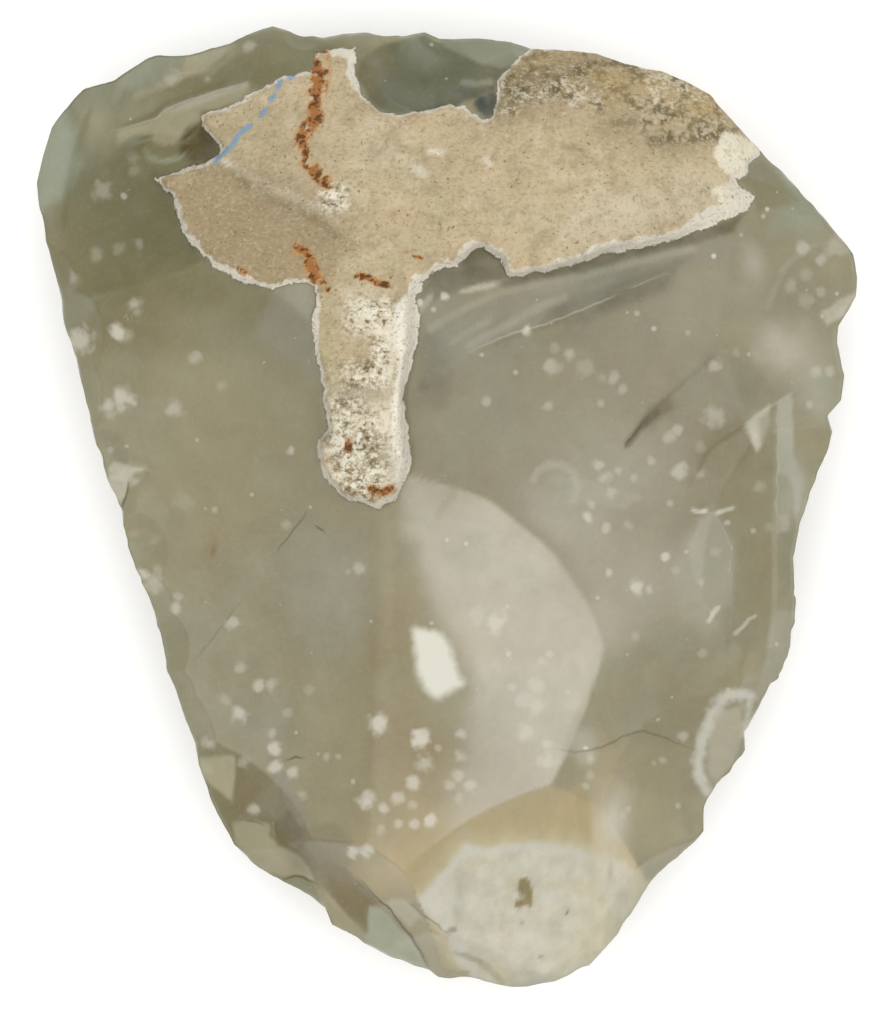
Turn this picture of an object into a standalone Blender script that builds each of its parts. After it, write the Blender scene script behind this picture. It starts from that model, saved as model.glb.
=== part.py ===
import math

import bmesh
import bpy
from mathutils import Matrix, Vector

# A knapped flint nodule lying on its back. +Z is up, +Y runs to the broad end, +X to the right.
# Heights are measured from the flat spot that it rests on. Lengths in the lists are millimetres.
MM = 0.001

CROWN_HEIGHT = 53 * MM
RIM_HEIGHT = 27 * MM
RIM_RISE = 3 * MM
RIM_SWAY = 0.8 * MM
RIM_SWAYS = 3
RIM_SWAY_START = 2
KEEL_DEPTH = 0.8 * MM
RIND = 1.3 * MM
CORTEX_ROOT = 29 * MM

# The crown is highest at the cortex stem and falls away from there, per metre squared. The cortex
# also comes down to the scars at the foot of its stem.
CROWN_CENTRE = (-3 * MM, 15 * MM)
CROWN_FALL_ACROSS = 3.6
CROWN_FALL_UP = 3.6
STEM_FALL = 17
KEEL_CENTRE = (1 * MM, 6 * MM)
KEEL_FALL = 2.6

# How squarely the faces turn down to the rim: the power of the radius, front and back.
FRONT_SHOULDER = 7
BACK_SHOULDER = 5
SHOULDER_ROUNDING = 0.5

RINGS = 12
SCAR_SIDES = 26
SCAR_RINGS = 6
SCAR_REACH = 1.35
SCAR_HEADROOM = 70 * MM
PRISM_HEADROOM = 10 * MM
GROUND_SIZE = 300 * MM
MERGE_DISTANCE = 0.01 * MM
WIDEST_CAP = math.radians(80)
RIDGE_ANGLE = math.radians(12)

STONE_COLOUR = (0.29, 0.27, 0.20, 1.0)
STONE_ROUGHNESS = 0.45

# The worked edge, anticlockwise from the left side, seen from above.
RIM = [
    (-60, 19), (-56.5, 5), (-54, 0), (-53.5, -5), (-51, -12.5), (-47.5, -22), (-44, -33),
    (-41, -45), (-35.5, -56), (-31, -60), (-23, -64.5), (-19, -69.5), (-8, -75), (-1.5, -78.5),
    (4, -78.5), (10.5, -80), (18, -79), (23.5, -76.5), (28.5, -71), (32.5, -65), (38.5, -58.5),
    (42.5, -54), (42.5, -50), (48, -42.5), (49.5, -37.5), (54, -29), (57, -23.5), (58, -16),
    (57.5, -8.5), (58.5, -2), (63, 8), (63, 15.5), (66, 22), (65, 30), (68, 35.5),
    (67.5, 42.5), (60.5, 50.5), (51.5, 60), (44.5, 68), (40, 71), (29.5, 74), (19, 76),
    (11.5, 77.5), (-1, 78), (-11.5, 79), (-20.5, 78), (-29, 80), (-33.5, 78.5), (-41.5, 76),
    (-50.5, 74.5), (-60, 70), (-65.5, 63), (-68, 54), (-67.5, 46.5), (-64, 34.5),
    (-62.5, 26.5),
]

# The edge of the cortex patch: its left lobe, the stem, the right lobe, and back along the top.
CORTEX = [
    (-29, 71), (-34.5, 67.5), (-40.5, 64.5), (-37.5, 60), (-38, 57), (-48.5, 55), (-45, 50.5),
    (-44, 46.5), (-35, 38), (-30, 36), (-22.5, 37), (-22, 31), (-20.5, 21), (-19.5, 13),
    (-21.5, 10.5), (-21, 7), (-17, 2), (-13.5, 0), (-8.5, 1), (-5.5, 7), (-7.5, 18),
    (-4.5, 29), (-5, 36.5), (-1, 40), (1.5, 40), (3, 42.5), (6.5, 44), (9, 42.5), (10.5, 37.5),
    (27.5, 42), (42, 46), (50, 49.5), (50.5, 52), (48, 55), (49.5, 57), (49, 60.5),
    (46.5, 63.5), (43.5, 66.5), (39, 69), (33, 71.5), (25.5, 73.5), (14.5, 74.5), (11, 72.5),
    (8.5, 68.5), (8, 65), (6, 64), (0, 66.5), (-9.5, 65.5), (-12.5, 67.5), (-15, 71.5),
    (-16, 75.5), (-19.5, 74.5),
]

# Flake scars: where the blow struck, where the flake ran out, how deep it is hollowed, and how
# many degrees it is rolled about the line between them.
FRONT_SCARS = {
    "scar_left_flank": ((-56, -4, 26.5), (-13, 9, 49.8), 2.2, -1),
    "scar_left_low": ((-50, -30.5, 27.5), (-8, -18, 44), 3, -0.8),
    "scar_upper_left": ((-67, 52, 27.5), (-44, 44, 40), 1.2, 0),
    "scar_top_left": ((-58.5, 71, 29), (-39, 59.5, 38.4), 1.5, 0),
    "scar_top_step": ((-40.5, 76.5, 30.3), (-31, 69.5, 38), 1, 0),
    "scar_top_notch": ((-3, 79, 31.5), (-2.5, 64.5, 46.5), 4.6, 0),
    "scar_top_chip": ((9.5, 78.5, 31.5), (9, 68.5, 40.5), 1, 0),
    "scar_centre": ((12, -63.5, 42.5), (12, 3, 45.8), 5.7, 0),
    "scar_right_face": ((72, 32.5, 32), (-9, 14, 49.6), 0.7, -5.4),
    "scar_right_edge": ((65, 20, 27.5), (47, 14, 38), 0.8, 0),
    "scar_right_corner": ((61.5, 49.5, 29), (49, 44.5, 36.6), 0.8, 0),
    "scar_right_foot": ((58, -8, 26), (41, -5, 38.6), 0.8, 0),
    "scar_lower_right": ((55, -39, 27.2), (17, -26, 43), 0.8, -4.4),
    "scar_low_edge": ((43, -52, 24.5), (24, -46.5, 38), 1.6, 0),
    "scar_tip": ((21, -77.5, 26.5), (6.5, -45.5, 43.8), 4.2, 5.5),
    "scar_lower_left": ((-38, -52.5, 24), (-25.5, -47.5, 36.4), 1.2, 0),
    "scar_tip_left": ((-19.5, -69.5, 23.5), (-13.5, -59.5, 36.2), 1, 0),
}
BACK_SCARS = {
    "back_left": ((-60, 12, 24), (-15, 8, 1), 2.2, 0),
    "back_upper_left": ((-66, 52, 25), (-17, 24, 1), 2.6, 0),
    "back_top": ((-14, 78, 27), (-4, 28, 1), 3.2, 0),
    "back_right": ((66, 24, 24), (19, 8, 1), 2.4, 0),
    "back_lower_right": ((57, -20, 22), (16, -9, 1), 2, 0),
    "back_tip_right": ((38, -58, 20), (9, -18, 1), 2.4, 0),
    "back_tip": ((4, -79, 20), (-1, -24, 1.5), 2.6, 0),
    "back_lower_left": ((-38, -54, 21), (-13, -12, 1), 2.6, 0),
}


def clear_scene():
    for item in list(bpy.data.objects):
        bpy.data.objects.remove(item, do_unlink=True)


def in_metres(point):
    return Vector(point) * MM


def rim_height(angle):
    sway = RIM_SWAY * math.sin(RIM_SWAYS * angle + RIM_SWAY_START)
    return RIM_HEIGHT + RIM_RISE * math.sin(angle) + sway


def add_mesh_object(name, bm):
    mesh = bpy.data.meshes.new(name)
    bmesh.ops.recalc_face_normals(bm, faces=bm.faces)
    bm.to_mesh(mesh)
    bm.free()
    item = bpy.data.objects.new(name, mesh)
    bpy.context.scene.collection.objects.link(item)
    return item


def make_guide(item):
    item.hide_render = True
    item.display_type = "WIRE"
    return item


def front_height(x, y, share, edge, crown_height, foot_fall):
    across = x - CROWN_CENTRE[0]
    up = y - CROWN_CENTRE[1]
    fall = CROWN_FALL_UP if up > 0 else foot_fall
    crown = crown_height - CROWN_FALL_ACROSS * across ** 2 - fall * up ** 2
    fullness = (1 - share ** FRONT_SHOULDER) ** SHOULDER_ROUNDING
    return edge + (crown - edge) * fullness


def back_height(x, y, share, edge):
    away = (x - KEEL_CENTRE[0]) ** 2 + (y - KEEL_CENTRE[1]) ** 2
    keel = KEEL_FALL * away - KEEL_DEPTH
    fullness = (1 - share ** BACK_SHOULDER) ** SHOULDER_ROUNDING
    return edge + (keel - edge) * fullness


def add_blank(name, crown_height, foot_fall):
    # A globe with one meridian for each point of the rim, pressed to the rim's outline.
    bm = bmesh.new()
    bmesh.ops.create_uvsphere(bm, u_segments=len(RIM), v_segments=2 * RINGS, radius=1)
    turn = 2 * math.pi / len(RIM)
    for vert in bm.verts:
        share = min(1.0, vert.co.xy.length)
        meridian = round(math.atan2(vert.co.y, vert.co.x) / turn) % len(RIM)
        corner = in_metres(RIM[meridian])
        x, y = corner * share
        edge = rim_height(math.atan2(corner.y, corner.x))
        if vert.co.z > 0:
            height = front_height(x, y, share, edge, crown_height, foot_fall)
        else:
            height = back_height(x, y, share, edge)
        vert.co = (x, y, height)
    return add_mesh_object(name, bm)


def add_scar(name, struck, end, hollow, roll, side):
    # The flake's underside is part of a ball, so the cutter is a round cap of that ball.
    struck = in_metres(struck)
    end = in_metres(end)
    hollow = hollow * MM
    chord = end - struck
    radius = (chord.length ** 2 / 4 + hollow ** 2) / (2 * hollow)
    along = chord.normalized()
    outward = Vector((0, 0, side))
    outward = (outward - along * outward.dot(along)).normalized()
    outward.rotate(Matrix.Rotation(math.radians(roll), 3, along))
    centre = (struck + end) / 2 + outward * (radius - hollow)

    cap = min(WIDEST_CAP, math.asin(min(1.0, SCAR_REACH * chord.length / radius)))
    bm = bmesh.new()
    profile = []
    for ring in range(SCAR_RINGS + 1):
        tilt = cap * ring / SCAR_RINGS
        profile.append(bm.verts.new((radius * math.sin(tilt), 0, -radius * math.cos(tilt))))
    roof = SCAR_HEADROOM - radius * math.cos(cap)
    profile.append(bm.verts.new((radius * math.sin(cap), 0, roof)))
    profile.append(bm.verts.new((0, 0, roof)))
    edges = [bm.edges.new(pair) for pair in zip(profile, profile[1:])]
    bmesh.ops.spin(
        bm, geom=profile + edges, axis=(0, 0, 1), cent=(0, 0, 0),
        angle=2 * math.pi, steps=SCAR_SIDES, use_merge=True)
    bmesh.ops.remove_doubles(bm, verts=bm.verts, dist=MERGE_DISTANCE)
    cutter = make_guide(add_mesh_object(name, bm))
    facing = outward.to_track_quat("Z", "Y").to_matrix().to_4x4()
    cutter.matrix_world = Matrix.Translation(centre) @ facing
    return cutter


def add_prism(name, outline, bottom, top):
    bm = bmesh.new()
    corners = [bm.verts.new((x * MM, y * MM, bottom)) for x, y in outline]
    floor = bm.faces.new(corners)
    raised = bmesh.ops.extrude_face_region(bm, geom=[floor])["geom"]
    lifted = [item for item in raised if isinstance(item, bmesh.types.BMVert)]
    bmesh.ops.translate(bm, verts=lifted, vec=(0, 0, top - bottom))
    return make_guide(add_mesh_object(name, bm))


def add_boolean(item, name, operation, other):
    change = item.modifiers.new(name, "BOOLEAN")
    change.operation = operation
    change.solver = "EXACT"
    if isinstance(other, bpy.types.Collection):
        change.operand_type = "COLLECTION"
        change.collection = other
    else:
        change.object = other


def gather(name, items):
    group = bpy.data.collections.new(name)
    bpy.context.scene.collection.children.link(group)
    for item in items:
        bpy.context.scene.collection.objects.unlink(item)
        group.objects.link(item)
    return group


def add_ground():
    # Everything below height 0 is cut off, which leaves the flat spot.
    bm = bmesh.new()
    bmesh.ops.create_cube(bm, size=GROUND_SIZE)
    bmesh.ops.translate(bm, verts=bm.verts, vec=(0, 0, -GROUND_SIZE / 2))
    return make_guide(add_mesh_object("ground_cutter", bm))


def stone_material():
    material = bpy.data.materials.new("flint")
    material.use_nodes = True
    shader = material.node_tree.nodes["Principled BSDF"]
    shader.inputs["Base Color"].default_value = STONE_COLOUR
    shader.inputs["Roughness"].default_value = STONE_ROUGHNESS
    shader.inputs["Metallic"].default_value = 0.0
    return material


def settle(item):
    # The cuts become the mesh, so that the ridges between scars can be marked sharp.
    view = bpy.context.evaluated_depsgraph_get()
    item.data = bpy.data.meshes.new_from_object(item.evaluated_get(view))
    item.modifiers.clear()
    item.data.shade_smooth()
    item.data.set_sharp_from_angle(angle=RIDGE_ANGLE)


def build_nodule():
    cortex = make_guide(add_blank("cortex_plate", CROWN_HEIGHT, STEM_FALL))
    patch = add_prism("cortex_outline", CORTEX, CORTEX_ROOT, CROWN_HEIGHT + PRISM_HEADROOM)
    add_boolean(cortex, "cortex_edge", "INTERSECT", patch)

    scars = [add_scar(name, *values, 1) for name, values in FRONT_SCARS.items()]
    scars += [add_scar(name, *values, -1) for name, values in BACK_SCARS.items()]
    nodule = add_blank("flint_nodule", CROWN_HEIGHT - RIND, 0)
    add_boolean(nodule, "scars", "DIFFERENCE", gather("scars", scars))
    add_boolean(nodule, "cortex", "UNION", cortex)
    add_boolean(nodule, "rest_flat", "DIFFERENCE", add_ground())
    settle(nodule)
    nodule.data.materials.clear()
    nodule.data.materials.append(stone_material())


clear_scene()
build_nodule()
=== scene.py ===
import math
import random

import bmesh
import bpy
import numpy as np
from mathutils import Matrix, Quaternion, Vector, noise


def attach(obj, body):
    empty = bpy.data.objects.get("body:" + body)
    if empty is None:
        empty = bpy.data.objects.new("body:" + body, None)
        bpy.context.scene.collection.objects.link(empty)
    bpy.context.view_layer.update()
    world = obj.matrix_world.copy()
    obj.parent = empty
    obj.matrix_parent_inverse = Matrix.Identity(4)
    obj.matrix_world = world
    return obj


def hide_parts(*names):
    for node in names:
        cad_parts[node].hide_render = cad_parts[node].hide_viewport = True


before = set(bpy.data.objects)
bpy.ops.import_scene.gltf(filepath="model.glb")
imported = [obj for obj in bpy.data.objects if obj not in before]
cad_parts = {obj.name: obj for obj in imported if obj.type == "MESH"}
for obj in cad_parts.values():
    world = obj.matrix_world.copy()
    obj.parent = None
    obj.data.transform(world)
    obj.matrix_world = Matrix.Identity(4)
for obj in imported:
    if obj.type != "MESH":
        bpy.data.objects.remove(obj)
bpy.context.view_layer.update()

mm = 0.001  # everything below is worked out in millimetres and scaled once at the end


def hexColour(code):
    # an sRGB hex value, turned to linear
    channels = [int(code[i:i + 2], 16) / 255 for i in (1, 3, 5)]
    return [c / 12.92 if c < 0.0405 else ((c + 0.055) / 1.055) ** 2.4 for c in channels] + [1.0]


def addObject(name, data):
    thing = bpy.data.objects.new(name, data)
    bpy.context.scene.collection.objects.link(thing)
    return thing


def easeIn(low, high, value):
    share = np.clip((value - low) / (high - low), 0, 1)
    return share * share * (3 - 2 * share)


def lineDistance(x, y, points):
    # how far each place is from a broken line, on which side of it, and how far along it
    best = np.full(np.shape(x), 1e9)
    side = np.ones(np.shape(x))
    along = np.zeros(np.shape(x))
    walked = 0.0
    for (ax, ay), (bx, by) in zip(points, points[1:]):
        dx, dy = bx - ax, by - ay
        long = math.hypot(dx, dy)
        share = np.clip(((x - ax) * dx + (y - ay) * dy) / long ** 2, 0, 1)
        away = np.hypot(x - ax - share * dx, y - ay - share * dy)
        closer = away < best
        best = np.where(closer, away, best)
        side = np.where(closer, np.where(dx * (y - ay) - dy * (x - ax) < 0, -1.0, 1.0), side)
        along = np.where(closer, walked + share * long, along)
        walked += long
    return best, side, along


def lineLength(points):
    return sum(math.dist(a, b) for a, b in zip(points, points[1:]))


def insideDistance(x, y, corners):
    # how deep inside an outline each place is; outside it is negative
    away = lineDistance(x, y, corners + corners[:1])[0]
    inside = np.zeros(np.shape(x), bool)
    for (ax, ay), (bx, by) in zip(corners, corners[1:] + corners[:1]):
        if ay != by:
            crosses = (ay > y) != (by > y)
            inside ^= crosses & (x < (bx - ax) * (y - ay) / (by - ay) + ax)
    return np.where(inside, away, -away)


unevenness = {  # soft noise over the stone: size of its lumps in mm, strength, seed and octaves
    "waves": (17, 1, 1, 2),
    "fineWaves": (4.5, 1, 2, 2),
    "cortexEdge": (2.2, 0.45, 3, 3),
    "cortexLumps": (9, 0.3, 4, 2),
    "cortexGrain": (1.9, 0.13, 5, 3),
    "stemCrumbs": (1.3, 0.65, 6, 2),
    "stemLumps": (2.8, 0.55, 33, 2),
    "chalkEdge": (3, 0.35, 7, 2),
    "chalkGrain": (2.1, 0.1, 8, 3),
    "skinEdge": (6, 1.6, 9, 3),
    "skinGrain": (2.6, 0.25, 10, 3),
    "wobble": (1.6, 0.2, 12, 2),  # of the edges between tones
    "lumps": (7, 1, 21, 3),  # from here on it only mottles the tones
    "curds": (2.4, 1, 22, 3),
    "crumbs": (1.1, 1, 23, 3),
    "drift": (14, 1, 25, 4),
    "paleDrift": (9, 1, 24, 2),
    "rustGaps": (1.7, 1, 31, 2),
}


def cloud(name, x, y):
    size, strength, seed, octaves = unevenness[name]
    shift = Vector((seed * 17.3, seed * 5.1, seed * 9.7))
    places = zip(x.tolist(), y.tolist())
    values = [noise.fractal(Vector((a, b, 0)) / size + shift, 0.7, 2.1, octaves) for a, b in places]
    return strength * np.array(values)


def mound(middle, halfWidths, power=2):
    # 1 at the middle of a spot, dying away past its half widths
    across = (x - middle[0]) / halfWidths[0]
    up = (y - middle[1]) / halfWidths[1]
    return np.exp(-across ** power - up ** power)


form = {
    "frontCells": 276,  # cells across the face; the back has half as many
    "rimTightening": 0.25,  # draws the mesh rings together towards the rim
    "crownHeight": 53,
    "crownCentre": (-3, 15),
    "crownFall": 0.0036,  # per millimetre
    "stemFall": 0.017,
    "keelCentre": (1, 6),
    "keelFall": 0.0026,
    "keelDepth": 0.8,
    "rimHeight": 27,
    "rimRise": 3,
    "rimSway": 0.8,
    "frontShoulder": 7,
    "backShoulder": 5,
    "ridgeRounding": 0.16,
    "softRidge": (-10.5, 5, 1.6),  # the faint ridge down the middle: its x, half width and rounding
    "rippleSpacing": 5,
    "rippleHeight": 0.05,
    "chipRipple": 0.01,
    "edgeChips": 54,
    "chipLengths": [2.5, 3, 3.5, 4.5, 6],
    "chipHollow": (0.05, 0.1),  # as a share of the length
    "chipBite": (0, 0.15),  # how far a small flake cuts the edge back
    "chipSwing": 0.12,  # radians either way from square to the edge
    "chipRise": 1.5,  # the least height that a flake climbs
    "chipReach": 22,  # its ball cuts nothing farther off than this
    "edgeKept": 0.991,  # the share of the outline that a flake has to leave
    "thinnestEdge": 0.25,
    "ragged": 0.16,  # the outline's fine teeth
    "fuller": 0.2,  # how far the thin edge runs past the rim line
    "waveHeight": (0.22, 0.16),  # of the broad waves, front and back
    "fineHeight": (0.035, 0.05),
}

# the worked edge, clockwise from the left side, seen from above
rimLine = [
    (-62.3, 26.5), (-63.7, 31), (-64, 34.7), (-65, 38.8), (-67.3, 46.3), (-68.2, 54), (-67.3, 57.8),
    (-65.7, 63.2), (-63.7, 66), (-60.2, 69.8), (-55.3, 71), (-50.7, 74.3), (-46.8, 75.5), (-41.5, 75.8),
    (-36.2, 77), (-33.3, 78.5), (-29, 80), (-24.8, 78.7), (-20.5, 78), (-17.2, 78.7), (-11.3, 79),
    (-7.5, 78.2), (-3.7, 79), (-1.2, 77.8), (9.8, 78), (11.7, 77.5), (13.8, 76.2), (18.8, 76.2),
    (25.5, 75.3), (29.5, 73.8), (34.2, 73), (40, 70.8), (44.7, 68), (46.7, 65), (51.5, 60), (56.2, 55.3),
    (60.5, 50.7), (64.3, 46.2), (67.5, 42.3), (68.2, 38.5), (68, 35.3), (66.7, 32.8), (65, 30.2),
    (64.8, 27.2), (66, 22), (65.5, 18), (63.2, 15.3), (64, 12.7), (62.8, 7.8), (60.5, 2.2), (58.7, -2.2),
    (57.5, -8.3), (58, -15.8), (57.7, -19.7), (57, -23.5), (55.5, -28), (53.8, -29.2), (51.8, -33),
    (49.5, -37.3), (49.5, -40.2), (48.2, -42.7), (44.7, -46), (42.7, -49.8), (42.7, -53.8), (38.5, -58.7),
    (34.2, -62), (32.3, -65), (28.5, -70.8), (23.7, -76.3), (18, -78.8), (13.2, -79.8), (10.7, -79.8),
    (6, -78.8), (3.8, -78.3), (-1.5, -78.3), (-2.8, -77), (-8.2, -75.2), (-13.8, -72.5), (-19.2, -69.7),
    (-20.3, -66.5), (-23, -64.3), (-27.2, -62.2), (-31.2, -60), (-35.3, -56), (-38.2, -50.7),
    (-40.8, -45), (-41.8, -39.2), (-44.2, -33), (-46.3, -27.5), (-47.7, -22), (-48.5, -17.3),
    (-50.8, -12.7), (-53.5, -5), (-54, -0.2), (-56.5, 5), (-58.7, 12.2), (-60.2, 18.8), (-61.7, 25.2),
]

# the edge of the cortex patch
cortexLine = [
    (-21.8, 75.7), (-17.8, 76.3), (-15.2, 76.3), (-15, 73.5), (-15.2, 71.5), (-14.3, 69.2), (-12.7, 66.8),
    (-10.3, 65.3), (-8.3, 65.2), (-3.3, 65.8), (0.5, 66.7), (2.8, 66.8), (4.5, 65.3), (6, 64.2),
    (7.7, 64.8), (8.3, 68), (8.3, 70.8), (10.3, 73.2), (14.2, 76.7), (25.5, 76.3), (34.2, 74),
    (40.5, 71.7), (45.8, 68.7), (48, 65.2), (52.7, 60.3), (52, 58.3), (50.2, 57.2), (49.7, 55.5),
    (48.8, 54.5), (47.7, 54.7), (48.3, 53.7), (51.3, 51.8), (50, 49.3), (41.8, 46), (36.2, 43.8),
    (27.5, 42.2), (20.3, 40), (14.7, 38.8), (10.3, 37.8), (10, 38.2), (9.5, 39.5), (8.7, 41.2),
    (7.3, 42.3), (5.7, 43), (3.8, 42.3), (2.5, 40.7), (2, 39.3), (-0.5, 39.8), (-2.3, 38.7), (-3.7, 37.2),
    (-5, 34.8), (-4.7, 32.7), (-4.5, 29), (-5.7, 23.7), (-7.2, 18.7), (-6.3, 11.7), (-5.7, 7.2), (-7, 4),
    (-8.5, 1.2), (-10.8, 0.2), (-13.3, 0.5), (-16.2, 1.3), (-19.5, 4), (-21.2, 7), (-21.5, 10.3),
    (-19.5, 13.2), (-20.5, 16.5), (-20.5, 20.8), (-21.8, 25.7), (-22.2, 30.8), (-21.5, 34.7),
    (-21.8, 36.3), (-23.2, 37.2), (-26.8, 36.8), (-29, 35.8), (-31.3, 36.8), (-32.8, 36.8), (-35, 37.5),
    (-39, 40.5), (-41.8, 43.2), (-43.8, 45.8), (-44.5, 48.3), (-45.5, 51.7), (-49, 54.7), (-43.5, 56.3),
    (-40, 57.3), (-38.2, 57.8), (-37.3, 59.5), (-39, 61.5), (-40.8, 63.3), (-41, 65.3), (-37.5, 66.3),
    (-34.2, 67.5), (-31.2, 69.5), (-27.2, 71.3), (-22.7, 72.7),
]

cortexForm = {
    "rind": 1.3,  # how far the cortex stands above the flint
    "leastRind": 0.35,
    "foldDepth": 0.9,
    "edgeWidth": 0.4,  # its broken white edge, thin all round
    # where the broken edge is wider: middle, half widths, width
    "wideEdges": [
        ((-41.2, 44.7), (5, 8), 0.9), ((-35.8, 38.7), (5, 4), 1.5), ((-27.3, 36.3), (6, 3), 0.9),
        ((-16.2, 74.7), (2.5, 5), 1.7), ((3.8, 41), (10, 5), 1.6), ((18.8, 40.2), (9, 4), 1.2),
        ((32.2, 43.3), (14, 5), 1.9), ((45.8, 47.7), (9, 7), 2.8), ((-5.5, 29.7), (3.5, 12), 3),
        ((-6.5, 9.7), (3, 9), 2), ((-21.7, 28), (3, 10), 0.8), ((-17, 0.5), (9, 3), 0.7),
    ],
    # crumbly knobs along the stem: middle, half widths
    "crumbSpots": [
        ((-12.5, 31.7), (4.4, 3.2)), ((-10.8, 26.3), (1.9, 4.2)), ((-13.2, 22), (4.5, 2.4)),
        ((-16.8, 15.7), (3.4, 2.6)), ((-14.8, 11), (5.2, 5.5)), ((-14.5, 4.7), (5.2, 4)),
        ((-18.7, 51.3), (2.6, 2.4)),
    ],
}

# a fold in the cortex, lower on the left lobe
creaseLine = [(-38, 57), (-32.8, 54), (-27, 51.3), (-21.5, 48.7), (-17, 45)]

# the chalky end of the tip, and the stone's rim beyond it
chalkLine = [
    (-4.7, -64.7), (-2.2, -62.2), (0.2, -59.3), (1.8, -57), (3.2, -55.7), (5.2, -56.3), (7, -56.3),
    (10.8, -55.8), (16, -55.7), (20.5, -56.3), (23.8, -57), (26.5, -57.5), (29.2, -59), (31.7, -61),
    (33.8, -62.7), (33, -70.3), (25.5, -77.8), (15.5, -82), (3.8, -82), (3.5, -77.3), (1.3, -74.5),
    (0.2, -71.3), (-1.8, -69.2),
]

# a piece of natural skin left on the back, at the upper right
skinLine = [
    (18, 66), (38, 62), (52, 52), (62, 42), (60, 30), (48, 26), (38, 34), (28, 38), (17, 48), (13, 58),
]

# flake scars: where the blow struck, where the flake ran out, how hollow, the roll, and its tone
frontScars = {
    "left flank": ((-56, -4, 26.5), (-13, 9, 49.8), 2.2, -1, "body"),
    "left low": ((-50, -30.5, 27.5), (-8, -18, 44), 3, -0.8, "body"),
    "upper left": ((-67, 52, 27.5), (-44, 44, 40), 1.2, 0, "olive"),
    "top left": ((-58.5, 71, 29), (-39, 59.5, 38.4), 1.5, 0, "olive"),
    "top step": ((-40.5, 76.5, 30.3), (-31, 69.5, 38), 1, 0, "moss"),
    "top notch": ((-3, 79, 31.5), (-2.5, 64.5, 46.5), 4.6, 0, "slate"),
    "top chip": ((9.5, 78.5, 31.5), (9, 68.5, 40.5), 1, 0, "moss"),
    "centre": ((12, -63.5, 42.5), (12, 3, 45.8), 5.7, 0, "body"),
    "right face": ((72, 32.5, 32), (-9, 14, 49.6), 0.7, -5.4, "bronze"),
    "right edge": ((65, 20, 27.5), (47, 14, 38), 0.8, 0, "fawn"),
    "right corner": ((61.5, 49.5, 29), (49, 44.5, 36.6), 0.8, 0, "fawn"),
    "right foot": ((58, -8, 26), (41, -5, 38.6), 0.8, 0, "body"),
    "lower right": ((55, -39, 27.2), (17, -26, 43), 0.8, -4.4, "fawn"),
    "low edge": ((43, -52, 24.5), (24, -46.5, 38), 1.6, 0, "fawn"),
    "tip": ((21, -77.5, 26.5), (6.5, -45.5, 43.8), 4.2, 5.5, "honey"),
    "lower left": ((-38, -52.5, 24), (-25.5, -47.5, 36.4), 1.2, 0, "moss"),
    "tip left": ((-19.5, -69.5, 23.5), (-13.5, -59.5, 36.2), 1, 0, "moss"),
}
backScars = {
    "back left": ((-60, 12, 24), (-15, 8, 1), 2.2, 0, "body"),
    "back upper left": ((-66, 52, 25), (-17, 24, 1), 2.6, 0, "olive"),
    "back top": ((-14, 78, 27), (-4, 28, 1), 3.2, 0, "slate"),
    "back right": ((66, 24, 24), (19, 8, 1), 2.4, 0, "fawn"),
    "back lower right": ((57, -20, 22), (16, -9, 1), 2, 0, "body"),
    "back tip right": ((38, -58, 20), (9, -18, 1), 2.4, 0, "fawn"),
    "back tip": ((4, -79, 20), (-1, -24, 1.5), 2.6, 0, "honey"),
    "back lower left": ((-38, -54, 21), (-13, -12, 1), 2.6, 0, "moss"),
}

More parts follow.
